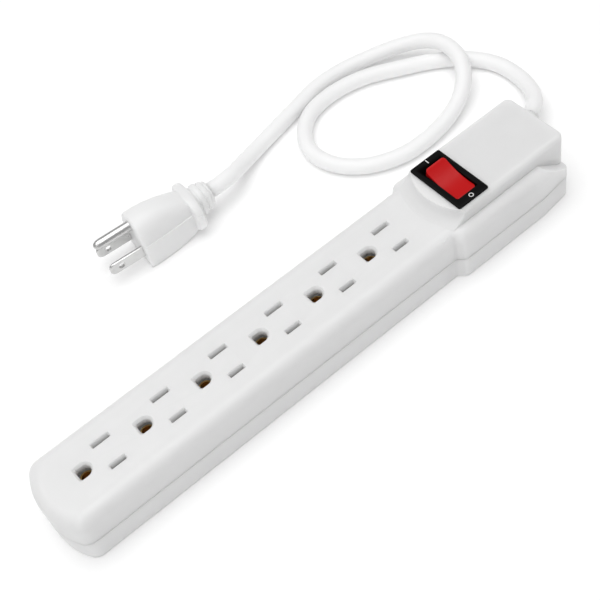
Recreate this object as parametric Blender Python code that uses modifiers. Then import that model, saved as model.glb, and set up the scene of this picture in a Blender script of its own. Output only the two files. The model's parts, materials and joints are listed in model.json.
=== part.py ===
"""Six-outlet power strip with a rocker switch and a short moulded cord.

Frame: metres, +X along the strip toward the switch and cord end, +Z up from the
surface it stands on, +Y the neutral side of the outlets. The origin is the middle
of the underside. Lengths in this file are millimetres and are scaled by MM.
"""
import math

import bmesh
import bpy
import numpy as np
from mathutils import Matrix, Vector

MM = 0.001

# Housing
LENGTH = 260.0
HALF_WIDTH = 19.3
HEAD_HALF = 22.5
HEAD_END_HALF = 20.4
FACE_Z = 27.0
PART_Z = 12.0
COVER_GAP = 0.3
TOP_WALL = 2.4
FACE_WALL = 4.0
TRAY_WALL = 3.9
FLOOR = 2.4
EDGE_R = 5.6
NEAR_BOW = 5.7
NEAR_CORNER_R = 6.0
STEP_X = (63.5, 66.8)
NECK_X = 112.0
HOLLOW_END_X = 108.0
RAMP_X = 114.5
RAMP_Z = (26.3, 15.0)

# Raised platform under the switch
PLAT_Z = 34.0
PLAT_HALF = 16.8
PLAT_ARC_X = 93.0
PLAT_ARC_R = 31.5
RAMP_REACH = 5.0

# Outlets
OUTLETS = 6
PITCH = 28.6
FIRST_X = -97.0
SLOT_Y = 6.35
SLOT_T = 2.5
NEUTRAL_SLOT = 8.4
HOT_SLOT = 7.4
SLOT_LEAD = 0.4
SLOT_LEAD_DEPTH = 1.2
GROUND_BACK = 11.9
GROUND_W = 5.4
GROUND_L = 5.8

# Contacts
BAR_Z = 8.2
GROUND_BAR_Z = 4.2
BAR_T = 0.8
BAR_HALF = 2.4

# Cover screws
SCREWS = [(-119.0, 0.0), (-31.3, 12.2), (-31.3, -12.2), (59.8, 14.5), (59.8, -14.5), (119.0, 0.0)]
SCREW_R = 1.4
HEAD_R = 2.9

# Switch
SW_X = 79.5
PIVOT_Z = 30.0
BEZEL = (8.2, 15.15)
BEZEL_Z = (34.2, 35.1)
BODY = (6.8, 13.3)
WELL = (5.6, 11.2)
BODY_Z = 16.0
ROCKER_HALF = (5.3, 9.9)
ROCKER_TILT = math.radians(10.5)
LEVER_Z = 21.2
LEVER_TILT = math.radians(8.0)
TAB_Y = 8.0

# Cord and plug
CORD_R = 3.8
CORD_EXIT = (130.0, 13.2, 12.0)
GRIP_R = 4.4
GRIP_BEND_R = 26.0
GRIP_OUT = 13.0
WIRE_R = 1.1
PLUG_FACE = (-26.9, 92.6, 0.0)
PLUG_YAW = math.radians(-4.7)
PLUG_AXIS_Z = 12.7
BLADE_Z = 9.0

# Cord centreline from the grip to the plug: out of the end wall, once round in a loose
# loop on the surface, over itself in a low hump, then alongside to the plug.
ROUTE = [
    (152.3, 22.9, 9.5), (158.7, 31.6, 6.3), (162.6, 43.9, 4.2), (161.9, 57.5, 3.9), (155.4, 70.3, 3.9),
    (144.6, 80.8, 3.9), (130.0, 90.0, 3.9), (113.0, 99.0, 3.9), (95.5, 102.3, 3.9), (79.3, 99.4, 3.9),
    (68.2, 89.5, 3.9), (64.5, 77.0, 3.9), (68.1, 63.9, 3.9), (78.0, 53.4, 3.9), (92.4, 47.1, 3.9),
    (109.0, 46.3, 4.1), (126.0, 49.3, 5.6), (138.6, 55.6, 8.4), (146.2, 64.4, 11.2), (149.3, 74.0, 12.1),
    (148.6, 83.6, 11.7), (144.2, 92.4, 9.8), (135.6, 100.4, 7.0), (123.2, 106.8, 4.8), (109.0, 110.9, 3.9),
    (94.5, 111.4, 3.9), (80.2, 108.6, 3.9), (65.3, 105.2, 3.9), (50.6, 101.6, 4.2), (37.5, 96.7, 6.6),
    (27.0, 90.9, 11.2),
]
CORD_STEP = 8.0


def v(point):
    return Vector(point) * MM


def outlet_x(index):
    return FIRST_X + PITCH * index


def clear_scene():
    for obj in list(bpy.data.objects):
        bpy.data.objects.remove(obj, do_unlink=True)


def make_collection(name):
    coll = bpy.data.collections.new(name)
    bpy.context.scene.collection.children.link(coll)
    return coll


def make_material(name, rgb, roughness, metallic=0.0, transmission=0.0):
    mat = bpy.data.materials.new(name)
    mat.use_nodes = True
    bsdf = mat.node_tree.nodes["Principled BSDF"]
    bsdf.inputs["Base Color"].default_value = (*rgb, 1.0)
    bsdf.inputs["Roughness"].default_value = roughness
    bsdf.inputs["Metallic"].default_value = metallic
    bsdf.inputs["Transmission Weight"].default_value = transmission
    mat.diffuse_color = (*rgb, 1.0)
    return mat


def add_object(name, data, coll, mat=None):
    obj = bpy.data.objects.new(name, data)
    coll.objects.link(obj)
    if mat is not None:
        data.materials.append(mat)
    return obj


def mesh_from(bm, name):
    bmesh.ops.recalc_face_normals(bm, faces=bm.faces)
    mesh = bpy.data.meshes.new(name)
    bm.to_mesh(mesh)
    bm.free()
    return mesh


def cutter(name, bm):
    obj = add_object(name, mesh_from(bm, name), CUTTERS)
    obj.hide_render = True
    obj.display_type = "WIRE"
    return obj


def boolean(obj, operand, operation="DIFFERENCE"):
    mod = obj.modifiers.new(operand.name, "BOOLEAN")
    mod.operation = operation
    mod.solver = "EXACT"
    mod.object = operand


def add_box(bm, lo, hi):
    size = [(b - a) * MM for a, b in zip(lo, hi)]
    centre = [(a + b) / 2 * MM for a, b in zip(lo, hi)]
    matrix = Matrix.Translation(centre) @ Matrix.Diagonal((*size, 1.0))
    bmesh.ops.create_cube(bm, size=1.0, matrix=matrix)


def add_rod(bm, centre, radius, depth, axis="Z", segments=24):
    turn = {"Z": Matrix.Identity(4), "X": Matrix.Rotation(math.pi / 2, 4, "Y"),
            "Y": Matrix.Rotation(math.pi / 2, 4, "X")}[axis]
    bmesh.ops.create_cone(bm, cap_ends=True, segments=segments, radius1=radius * MM,
                          radius2=radius * MM, depth=depth * MM,
                          matrix=Matrix.Translation(v(centre)) @ turn)


def add_layers(bm, layers):
    """Closed solid from matching closed outlines, each a list of 3D points."""
    rings = [[bm.verts.new(v(p)) for p in layer] for layer in layers]
    count = len(rings[0])
    for low, high in zip(rings, rings[1:]):
        for i in range(count):
            j = (i + 1) % count
            bm.faces.new((low[i], low[j], high[j], high[i]))
    bm.faces.new(list(reversed(rings[0])))
    bm.faces.new(rings[-1])


def add_prism(bm, outline, z0, z1):
    add_layers(bm, [[(x, y, z0) for x, y in outline], [(x, y, z1) for x, y in outline]])


def round_corners(outline, radii, steps=5):
    """Replace each corner that has a radius by an arc."""
    result = []
    count = len(outline)
    for i, corner in enumerate(outline):
        radius = radii.get(i, 0.0)
        here = np.array(corner, float)
        back = np.array(outline[i - 1], float) - here
        ahead = np.array(outline[(i + 1) % count], float) - here
        if radius == 0.0:
            result.append(tuple(here))
            continue
        back /= np.linalg.norm(back)
        ahead /= np.linalg.norm(ahead)
        half = math.acos(float(np.clip(back @ ahead, -1, 1))) / 2
        middle = (back + ahead) / np.linalg.norm(back + ahead)
        centre = here + middle * radius / math.sin(half)
        start = here + back * radius / math.tan(half) - centre
        end = here + ahead * radius / math.tan(half) - centre
        a0 = math.atan2(start[1], start[0])
        turn = math.atan2(end[1], end[0]) - a0
        turn = (turn + math.pi) % (2 * math.pi) - math.pi
        for k in range(steps + 1):
            angle = a0 + turn * k / steps
            result.append((centre[0] + radius * math.cos(angle), centre[1] + radius * math.sin(angle)))
    return result


def housing_outline(inset=0.0):
    """Plan of the housing: bowed near end, straight sides, wider head."""
    near = -LENGTH / 2 + inset
    far = LENGTH / 2 - inset
    half = HALF_WIDTH - inset
    head = HEAD_HALF - inset
    end = HEAD_END_HALF - inset
    corner = near + NEAR_BOW
    bow = [(near + NEAR_BOW * (y / half) ** 2, y) for y in np.linspace(half * 0.66, -half * 0.66, 9)]
    shift = 0.41 * inset
    right = [(corner, -half), (STEP_X[0] + shift, -half), (STEP_X[1] + shift, -head),
             (NECK_X, -head), (far, -end)]
    left = [(x, -y) for x, y in reversed(right)]
    points = [tuple(p) for p in bow] + right + left
    corner_r = max(NEAR_CORNER_R - inset, 1.5)
    end_r = max(5.0 - inset, 1.5)
    radii = {9: corner_r, 10: 2.5, 11: 3.5, 13: end_r, 14: end_r, 16: 3.5, 17: 2.5, 18: corner_r}
    return round_corners(points, radii)


def inner_outline(inset, end_x):
    """Plan of the housing set in by a wall, squared off inside the head."""
    kept = [p for p in housing_outline(inset) if p[0] < end_x]
    turn = (len(kept) + 9) // 2
    head = HEAD_HALF - inset
    return kept[:turn] + [(end_x, -head), (end_x, head)] + kept[turn:]


def bevel_edges(bm, edges, radius, segments):
    bmesh.ops.bevel(bm, geom=list(edges), offset=radius * MM, segments=segments, profile=0.5,
                    affect="EDGES", clamp_overlap=True)


def ring_edges_at(bm, z):
    level = z * MM
    return [e for e in bm.edges if all(abs(p.co.z - level) < 1e-6 for p in e.verts)]


def ground_outline(grow=0.0):
    """U-ground hole: flat toward the near end, round toward the blade slots."""
    half = GROUND_W / 2 + grow
    back = -GROUND_L / 2 - grow
    arc_x = GROUND_L / 2 - GROUND_W / 2
    arc = [(arc_x + half * math.cos(a), half * math.sin(a))
           for a in np.linspace(-math.pi / 2, math.pi / 2, 11)]
    return [(back, half - 0.6), (back, -half + 0.6), (back + 0.6, -half)] + arc + [(back + 0.6, half)]


def slot_ring(x, y, half_x, half_y, z):
    return [(x - half_x, y - half_y, z), (x + half_x, y - half_y, z), (x + half_x, y + half_y, z),
            (x - half_x, y + half_y, z)]


def slot_solids(bm):
    """Blade slots with a tapered lead-in, and chamfered ground holes."""
    for i in range(OUTLETS):
        x = outlet_x(i)
        for y, length in ((SLOT_Y, NEUTRAL_SLOT), (-SLOT_Y, HOT_SLOT)):
            levels = ((FACE_Z - 6, SLOT_LEAD), (FACE_Z - SLOT_LEAD_DEPTH, SLOT_LEAD),
                      (FACE_Z, 0.0), (FACE_Z + 1, 0.0))
            add_layers(bm, [slot_ring(x, y, length / 2 - cut, SLOT_T / 2 - cut, z) for z, cut in levels])
        gx = x - GROUND_BACK
        levels = ((FACE_Z - 6, 0.0), (FACE_Z - 1.2, 0.0), (FACE_Z, 0.9), (FACE_Z + 1, 0.9))
        add_layers(bm, [[(gx + px, py, z) for px, py in ground_outline(grow)] for z, grow in levels])


def platform_mesh():
    """Raised platform: rounded block, cut back at its front to a hollow ramp."""
    bm = bmesh.new()
    outline = [(58.0, PLAT_HALF), (58.0, -PLAT_HALF), (LENGTH / 2, -PLAT_HALF), (LENGTH / 2, PLAT_HALF)]
    add_prism(bm, round_corners(outline, {2: 3.5, 3: 3.5}), 18.0, PLAT_Z)
    bevel_edges(bm, ring_edges_at(bm, PLAT_Z), 2.2, 4)
    return bm


def ramp_solid():
    """Turned drum with a hollow-curved side joined to a block reaching past the far end."""
    ramp = [(PLAT_ARC_R - RAMP_REACH * (1 - (1 - t) ** 2.2), FACE_Z + (PLAT_Z - FACE_Z) * t)
            for t in np.linspace(0, 1, 7)]
    profile = [(0.0, 40.0), (ramp[-1][0] - 0.2, 40.0)] + list(reversed(ramp))
    profile += [(PLAT_ARC_R, 17.0), (0.0, 17.0)]
    drum = turned_object("ramp_drum", profile, (PLAT_ARC_X, 0.0, 0.0), 64, CUTTERS)
    drum.hide_render = True
    drum.display_type = "WIRE"
    bm = bmesh.new()
    add_box(bm, (PLAT_ARC_X - 1.0, -30.0, 16.0), (140.0, 30.0, 41.0))
    boolean(drum, cutter("ramp_block", bm), "UNION")
    return drum


def turned_object(name, profile, place, steps, coll, mat=None):
    """Solid of revolution about its own upright axis, from a profile of radius and height."""
    mesh = bpy.data.meshes.new(name)
    edges = [(i, i + 1) for i in range(len(profile) - 1)]
    mesh.from_pydata([(r * MM, 0.0, z * MM) for r, z in profile], edges, [])
    obj = add_object(name, mesh, coll, mat)
    obj.location = v(place)
    mod = obj.modifiers.new("turn", "SCREW")
    mod.axis = "Z"
    mod.steps = steps
    mod.render_steps = steps
    mod.use_merge_vertices = True
    mod.merge_threshold = 0.00001
    mod.use_normal_calculate = True
    return obj


def build_top_cover(mat):
    bottom = PART_Z + COVER_GAP / 2
    bm = bmesh.new()
    add_prism(bm, housing_outline(), bottom, FACE_Z)
    bevel_edges(bm, ring_edges_at(bm, FACE_Z), EDGE_R, 5)
    cover = add_object("top_cover", mesh_from(bm, "top_cover"), PARTS, mat)

    bm = bmesh.new()
    drop = (RAMP_Z[0] - RAMP_Z[1]) / (LENGTH / 2 - RAMP_X)
    slope = [(RAMP_X - 2.0, RAMP_Z[0] + drop * 2.0), (RAMP_X - 2.0, 40.0), (140.0, 40.0),
             (140.0, RAMP_Z[0] - drop * (140.0 - RAMP_X))]
    add_layers(bm, [[(x, y, z) for x, z in slope] for y in (-30.0, 30.0)])
    boolean(cover, cutter("shoulder_cut", bm))

    platform = add_object("platform_block", mesh_from(platform_mesh(), "platform_block"), CUTTERS)
    platform.hide_render = True
    platform.display_type = "WIRE"
    boolean(platform, ramp_solid(), "INTERSECT")
    boolean(cover, platform, "UNION")

    bm = bmesh.new()
    add_prism(bm, inner_outline(TOP_WALL, HOLLOW_END_X), 5.0, FACE_Z - FACE_WALL)
    boolean(cover, cutter("top_hollow", bm))

    bm = bmesh.new()
    add_box(bm, (72.0, -14.4, 5.0), (127.6, 14.4, PLAT_Z - TOP_WALL))
    boolean(cover, cutter("platform_hollow", bm))

    bm = bmesh.new()
    for x, y in SCREWS:
        top = PLAT_Z - 1.0 if x > 100 else FACE_Z - 1.0
        add_rod(bm, (x, y, (top + 7.9) / 2), 3.0, top - 7.9)
    boolean(cover, cutter("top_bosses", bm), "UNION")

    bm = bmesh.new()
    slot_solids(bm)
    add_box(bm, (SW_X - BODY[0] - 0.3, -BODY[1] - 0.3, 30.0), (SW_X + BODY[0] + 0.3, BODY[1] + 0.3, 36.0))
    for x, y in SCREWS:
        add_rod(bm, (x, y, 14.0), 1.75, 15.0, segments=16)
    boolean(cover, cutter("top_openings", bm))
    cut_cord_exit(cover, "top")
    return cover


def cut_cord_exit(cover, tag):
    x, y, z = CORD_EXIT
    bm = bmesh.new()
    add_rod(bm, (x - 11.0, y, z), GRIP_R + 0.3, 34.0, axis="X", segments=32)
    boolean(cover, cutter(tag + "_cord_hole", bm))
    bm = bmesh.new()
    add_rod(bm, (x - 6.4, y, z), 5.5, 3.2, axis="X", segments=32)
    boolean(cover, cutter(tag + "_grip_pocket", bm))


def build_bottom_cover(mat):
    top = PART_Z - COVER_GAP / 2
    bm = bmesh.new()
    add_prism(bm, housing_outline(), 0.0, top)
    bevel_edges(bm, ring_edges_at(bm, 0.0), 1.2, 2)
    tray = add_object("bottom_cover", mesh_from(bm, "bottom_cover"), PARTS, mat)

    bm = bmesh.new()
    add_prism(bm, inner_outline(TOP_WALL + 0.3, HOLLOW_END_X - 0.3), 6.0, 14.4)
    boolean(tray, cutter("tray_tongue", bm), "UNION")

    bm = bmesh.new()
    add_prism(bm, housing_outline(TRAY_WALL), FLOOR, 20.0)
    boolean(tray, cutter("tray_hollow", bm))

    bm = bmesh.new()
    for x, y in SCREWS:
        add_rod(bm, (x, y, 4.1), 4.2, 7.0)
    boolean(tray, cutter("tray_bosses", bm), "UNION")

    bm = bmesh.new()
    for i in range(OUTLETS):
        x = outlet_x(i) + 8.5
        add_box(bm, (x - 1.2, -2.0, 2.0), (x + 1.2, 2.0, GROUND_BAR_Z - 0.3))
        for y in (-6.35, 6.35):
            add_box(bm, (x - 1.2, y - 2.0, 2.0), (x + 1.2, y + 2.0, BAR_Z - 0.3))
    boolean(tray, cutter("tray_ribs", bm), "UNION")

    wells = bmesh.new()
    holes = bmesh.new()
    for x, y in SCREWS:
        add_rod(wells, (x, y, 1.25), HEAD_R + 0.4, 4.5)
        add_rod(holes, (x, y, 6.0), 1.75, 9.0, segments=16)
    boolean(tray, cutter("tray_wells", wells))
    boolean(tray, cutter("tray_screw_holes", holes))

    bm = bmesh.new()
    for x, y in SCREWS:
        if y != 0:
            add_rod(bm, (x, y, 13.0), 3.35, 10.2)
    boolean(tray, cutter("tray_boss_relief", bm))
    cut_cord_exit(tray, "tray")
    return tray


def build_screw(index, place, mat):
    x, y = place
    profile = [(0.0, 20.0), (0.5, 20.0), (SCREW_R, 18.4), (SCREW_R, 3.2), (HEAD_R, 3.2), (HEAD_R, 2.1),
               (HEAD_R - 0.5, 1.4), (1.4, 1.1), (0.0, 1.1)]
    name = "cover_screw_%d" % index
    screw = turned_object(name, profile, (x, y, 0.0), 20, PARTS, mat)
    bm = bmesh.new()
    add_box(bm, (x - 1.7, y - 0.3, 0.0), (x + 1.7, y + 0.3, 2.2))
    boolean(screw, cutter(name + "_slot_a", bm))
    bm = bmesh.new()
    add_box(bm, (x - 0.3, y - 1.7, 0.0), (x + 0.3, y + 1.7, 2.2))
    boolean(screw, cutter(name + "_slot_b", bm))
    return screw


def build_blade_bar(name, y, end_x, mat):
    """Brass strip with a pair of upright leaves under each blade slot."""
    bm = bmesh.new()
    add_box(bm, (outlet_x(0) - 5.0, y - BAR_HALF, BAR_Z), (end_x, y + BAR_HALF, BAR_Z + BAR_T))
    bar = add_object(name, mesh_from(bm, name), PARTS, mat)
    bm = bmesh.new()
    for i in range(OUTLETS):
        x = outlet_x(i)
        for side in (-1, 1):
            inner = y + side * 0.9
            outer = y + side * 1.5
            flare = y + side * 2.1
            section = [(inner, BAR_Z + 0.4), (inner, 18.4), (flare - side * 0.6, 20.4), (flare, 20.2),
                       (outer, 18.2), (outer, BAR_Z + 0.4)]
            add_layers(bm, [[(px, sy, sz) for sy, sz in section] for px in (x - 3.0, x + 3.0)])
    boolean(bar, cutter(name + "_leaves", bm), "UNION")
    return bar


def build_ground_bar(mat):
    """Brass strip with a round socket under each ground hole."""
    bm = bmesh.new()
    add_box(bm, (outlet_x(0) - GROUND_BACK - 4.0, -2.2, GROUND_BAR_Z), (61.0, 2.2, GROUND_BAR_Z + BAR_T))
    bar = add_object("ground_bus_bar", mesh_from(bm, "ground_bus_bar"), PARTS, mat)
    sleeves = bmesh.new()
    bores = bmesh.new()
    slits = bmesh.new()
    for i in range(OUTLETS):
        x = outlet_x(i) - GROUND_BACK
        add_rod(sleeves, (x, 0.0, 12.8), 3.2, 16.4, segments=20)
        add_rod(bores, (x, 0.0, 14.0), 2.6, 17.6, segments=20)
        add_box(slits, (x - 4.0, -0.4, 8.0), (x, 0.4, 22.0))
    boolean(bar, cutter("ground_sleeves", sleeves), "UNION")
    boolean(bar, cutter("ground_bores", bores))
    boolean(bar, cutter("ground_slits", slits))
    return bar


def build_switch_housing(mat):
    bm = bmesh.new()
    add_box(bm, (SW_X - BODY[0], -BODY[1], BODY_Z), (SW_X + BODY[0], BODY[1], BEZEL_Z[1] - 0.3))
    housing = add_object("switch_housing", mesh_from(bm, "switch_housing"), PARTS, mat)
    bm = bmesh.new()
    rim = [(SW_X + sx * BEZEL[0], sy * BEZEL[1]) for sx, sy in ((-1, -1), (1, -1), (1, 1), (-1, 1))]
    add_prism(bm, round_corners(rim, {0: 0.9, 1: 0.9, 2: 0.9, 3: 0.9}, 3), BEZEL_Z[0], BEZEL_Z[1])
    bevel_edges(bm, ring_edges_at(bm, BEZEL_Z[1]), 0.5, 2)
    boolean(housing, cutter("bezel_flange", bm), "UNION")
    bm = bmesh.new()
    add_box(bm, (SW_X - WELL[0], -WELL[1], BODY_Z + 2.0), (SW_X + WELL[0], WELL[1], 40.0))
    boolean(housing, cutter("switch_well", bm))
    bm = bmesh.new()
    for y in (-TAB_Y, 0.0, TAB_Y):
        add_box(bm, (SW_X - 3.45, y - 0.7, 14.0), (SW_X + 3.45, y + 0.7, 19.0))
    add_rod(bm, (SW_X, 0.0, PIVOT_Z), 1.5, 20.0, axis="X")
    boolean(housing, cutter("switch_ports", bm))
    return housing


def tilted(bm, angle, pivot_z):
    """Turn the whole mesh about the switch's cross axis."""
    pivot = v((SW_X, 0.0, pivot_z))
    bmesh.ops.rotate(bm, cent=pivot, matrix=Matrix.Rotation(angle, 3, "X"), verts=bm.verts)


def rocker_cutter(name, bm):
    tilted(bm, ROCKER_TILT, PIVOT_Z)
    return cutter(name, bm)


def rocker_section(inset):
    """Side view of the rocker: dished top, upright ends."""
    half = ROCKER_HALF[1] - inset
    dish = [(y, 4.4 + 1.8 * (y / ROCKER_HALF[1]) ** 2 - inset)
            for y in np.linspace(half - 0.2, -half + 0.2, 13)]
    foot = -1.5 - 3.0 * inset
    return [(half, foot), (half, 5.6 - inset)] + dish + [(-half, 5.6 - inset), (-half, foot)]


def build_rocker(mat):
    width = ROCKER_HALF[0]
    bm = bmesh.new()
    add_layers(bm, [[(SW_X + x, y, PIVOT_Z + z) for y, z in rocker_section(0.0)] for x in (-width, width)])
    tilted(bm, ROCKER_TILT, PIVOT_Z)
    rocker = add_object("switch_rocker", mesh_from(bm, "switch_rocker"), PARTS, mat)
    bm = bmesh.new()
    inner = width - 1.1
    add_layers(bm, [[(SW_X + x, y, PIVOT_Z + z) for y, z in rocker_section(1.3)] for x in (-inner, inner)])
    boolean(rocker, rocker_cutter("rocker_hollow", bm))
    bm = bmesh.new()
    add_rod(bm, (SW_X, 0.0, PIVOT_Z - 0.7), 2.6, 8.6)
    add_rod(bm, (SW_X - 5.7, 0.0, PIVOT_Z), 1.2, 1.4, axis="X", segments=16)
    add_rod(bm, (SW_X + 5.7, 0.0, PIVOT_Z), 1.2, 1.4, axis="X", segments=16)
    boolean(rocker, rocker_cutter("rocker_stem", bm), "UNION")
    bm = bmesh.new()
    add_rod(bm, (SW_X, 0.0, PIVOT_Z - 1.7), 1.75, 8.6)
    boolean(rocker, rocker_cutter("rocker_bore", bm))
    return rocker


def build_plunger(mat):
    profile = [(0.0, -1.6), (1.35, -1.6), (1.35, -4.6), (1.0, -5.0), (1.0, -7.2), (0.7, -8.0), (0.3, -8.3),
               (0.0, -8.3)]
    plunger = turned_object("switch_plunger", profile, (SW_X, 0.0, PIVOT_Z), 20, PARTS, mat)
    plunger.rotation_euler = (ROCKER_TILT, 0.0, 0.0)
    return plunger


def tube_object(name, points, radius, mat, resolution=2, radii=None):
    curve = bpy.data.curves.new(name, "CURVE")
    curve.dimensions = "3D"
    curve.bevel_depth = radius * MM
    curve.bevel_resolution = resolution
    curve.use_fill_caps = True
    spline = curve.splines.new("POLY")
    spline.points.add(len(points) - 1)
    for i, point in enumerate(points):
        spline.points[i].co = (*v(point), 1.0)
        if radii is not None:
            spline.points[i].radius = radii[i]
    return add_object(name, curve, PARTS, mat)


def build_spring(mat):
    turns = 4.0
    low, high = -1.15, 1.9
    steps = int(turns * 10)
    points = []
    for i in range(steps + 1):
        angle = 2 * math.pi * turns * i / steps
        z = low + (high - low) * i / steps
        points.append((1.15 * math.cos(angle), 1.15 * math.sin(angle), z))
    spring = tube_object("plunger_spring", points, 0.17, mat, resolution=1)
    spring.location = v((SW_X, 0.0, PIVOT_Z))
    spring.rotation_euler = (ROCKER_TILT, 0.0, 0.0)
    return spring


def build_lever(mat):
    """Brass see-saw contact with a rounded button at its switching end."""
    section = [(-8.6, 0.0), (-1.2, -0.5), (1.2, -0.5), (8.6, 0.0), (8.6, 0.6), (1.2, 0.1), (-1.2, 0.1),
               (-8.6, 0.6)]
    bm = bmesh.new()
    add_layers(bm, [[(SW_X + x, y, LEVER_Z + z) for y, z in section] for x in (-2.4, 2.4)])
    tilted(bm, -LEVER_TILT, LEVER_Z)
    lever = add_object("contact_lever", mesh_from(bm, "contact_lever"), PARTS, mat)
    bm = bmesh.new()
    add_rod(bm, (SW_X, -7.4, LEVER_Z - 0.15), 1.3, 1.3, segments=16)
    tilted(bm, -LEVER_TILT, LEVER_Z)
    boolean(lever, cutter("lever_button", bm), "UNION")
    return lever


def build_terminal(name, y, top, mat):
    bm = bmesh.new()
    add_box(bm, (SW_X - 3.15, y - 0.4, 9.0), (SW_X + 3.15, y + 0.4, top))
    return add_object(name, mesh_from(bm, name), PARTS, mat)


def build_lamp(mat):
    bm = bmesh.new()
    add_rod(bm, (SW_X, 6.0, PIVOT_Z + 0.6), 1.5, 6.6, axis="X", segments=20)
    bevel_edges(bm, [e for e in bm.edges if len(e.link_faces) == 2
                     and any(len(f.verts) > 4 for f in e.link_faces)], 0.6, 2)
    tilted(bm, ROCKER_TILT, PIVOT_Z)
    return add_object("pilot_lamp", mesh_from(bm, "pilot_lamp"), PARTS, mat)


def build_resistor(mat):
    bm = bmesh.new()
    add_rod(bm, (SW_X, -6.0, PIVOT_Z + 0.6), 1.1, 6.0, axis="X", segments=16)
    tilted(bm, ROCKER_TILT, PIVOT_Z)
    return add_object("lamp_resistor", mesh_from(bm, "lamp_resistor"), PARTS, mat)


def grip_path(distance):
    """Centreline of the cord grip, measured from the end wall's outer face."""
    x, y, z = CORD_EXIT
    if distance <= 0:
        return (x + distance, y, z)
    angle = distance / GRIP_BEND_R
    return (x + GRIP_BEND_R * math.sin(angle), y + GRIP_BEND_R * (1 - math.cos(angle)), z - distance * 0.06)


def build_grip(mat):
    """Moulded cord grip: flange held behind the end wall and a tapered tail that bends."""
    stations = [(-13.5, 0.94), (-12.5, 1.0), (-7.4, 1.0), (-7.3, 1.18), (-5.1, 1.18), (-5.0, 1.0),
                (0.0, 1.0)]
    stations += [(d, 1.0 - 0.1 * d / GRIP_OUT) for d in np.linspace(2.0, GRIP_OUT, 6)]
    points = [grip_path(d) for d, _ in stations]
    return tube_object("cord_grip", points, GRIP_R, mat, resolution=4, radii=[r for _, r in stations])


def smooth_line(controls, step):
    """Evenly spaced points on a smooth curve through the control points."""
    pts = np.array(controls, float)
    pts = np.vstack([2 * pts[0] - pts[1], pts, 2 * pts[-1] - pts[-2]])
    dense = []
    for p0, p1, p2, p3 in zip(pts, pts[1:], pts[2:], pts[3:]):
        for t in np.linspace(0.0, 1.0, 20, endpoint=False):
            dense.append(0.5 * (2 * p1 + (p2 - p0) * t + (2 * p0 - 5 * p1 + 4 * p2 - p3) * t ** 2
                                + (3 * p1 - p0 - 3 * p2 + p3) * t ** 3))
    dense.append(pts[-2])
    dense = np.array(dense)
    along = np.concatenate([[0.0], np.cumsum(np.linalg.norm(np.diff(dense, axis=0), axis=1))])
    count = max(int(round(along[-1] / step)), 2)
    at = np.linspace(0.0, along[-1], count + 1)
    return [tuple(float(np.interp(s, along, dense[:, k])) for k in range(3)) for s in at]


def build_cord(mat):
    """The free cord: straight out of the grip, along its route, straight into the plug."""
    start = np.array(grip_path(GRIP_OUT))
    ahead = start - np.array(grip_path(GRIP_OUT - 1.0))
    first = tuple(start + ahead * 0.35)
    lead = tuple(start + ahead * 5.0)
    tail = plug_point(45.0, 0.0, PLUG_AXIS_Z)
    last = plug_point(40.35, 0.0, PLUG_AXIS_Z)
    points = [first] + smooth_line([lead] + ROUTE + [tail], CORD_STEP) + [last]
    return tube_object("power_cord", points, CORD_R, mat, resolution=3)


def plug_point(back, side, height):
    """Point in the plug's own frame: back from the blade face, to its side, and up."""
    x, y, z = PLUG_FACE
    return (x + back * math.cos(PLUG_YAW) - side * math.sin(PLUG_YAW),
            y + back * math.sin(PLUG_YAW) + side * math.cos(PLUG_YAW), z + height)


def plug_section(half, low, wall, top, crown):
    """Plug outline: flat foot, upright sides to the wall height, domed top."""
    arc = []
    for k in range(9):
        a = math.pi * k / 8
        bulge = abs(math.cos(a)) ** 0.75 * (1 if a < math.pi / 2 else -1)
        arc.append((half * (crown * bulge + (1 - crown) * math.cos(a)),
                    wall + (top - wall) * math.sin(a) ** 0.9))
    foot = min(1.2, half * 0.2)
    return [(-half, low + foot), (-half + foot, low), (half - foot, low), (half, low + foot)] + arc


def build_plug_body(mat):
    stations = [(0.0, 8.6, 0.7, 14.6, 24.4), (0.7, 9.3, 0.2, 15.2, 25.2), (6.0, 10.4, 0.2, 15.8, 25.6),
                (14.0, 10.6, 1.8, 15.6, 24.8), (20.0, 10.2, 3.8, 15.2, 23.0), (24.5, 8.9, 5.8, 14.4, 20.8),
                (26.6, 8.6, 6.2, 14.2, 20.2), (27.6, 11.6, 6.4, 14.6, 20.0), (30.6, 12.0, 6.8, 14.8, 19.6),
                (31.6, 11.0, 7.2, 14.4, 19.0), (32.2, 5.4, 8.2, 13.4, 17.6), (33.6, 5.2, 8.0, 13.2, 17.6),
                (34.4, 6.5, 6.8, 12.8, 18.9), (37.6, 6.4, 6.8, 12.8, 18.9), (40.0, 4.9, 8.2, 12.8, 17.4)]
    layers = []
    for back, half, low, wall, top in stations:
        layers.append([plug_point(back, s, h) for s, h in plug_section(half, low, wall, top, 0.4)])
    bm = bmesh.new()
    add_layers(bm, layers)
    body = add_object("plug_body", mesh_from(bm, "plug_body"), PARTS, mat)
    bm = bmesh.new()
    for side, height, half_w, half_h in ((-6.35, BLADE_Z, 1.05, 3.5), (6.35, BLADE_Z, 1.05, 3.5)):
        corners = [(-half_w, -half_h), (half_w, -half_h), (half_w, half_h), (-half_w, half_h)]
        add_layers(bm, [[plug_point(b, side + s, height + h) for s, h in corners] for b in (-1.0, 6.0)])
    ring = [(2.7 * math.cos(a), 2.7 * math.sin(a)) for a in np.linspace(0, 2 * math.pi, 20, endpoint=False)]
    add_layers(bm, [[plug_point(b, s, BLADE_Z + 11.9 + h) for s, h in ring] for b in (-1.0, 6.0)])
    boolean(body, cutter("plug_sockets", bm))
    return body


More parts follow.
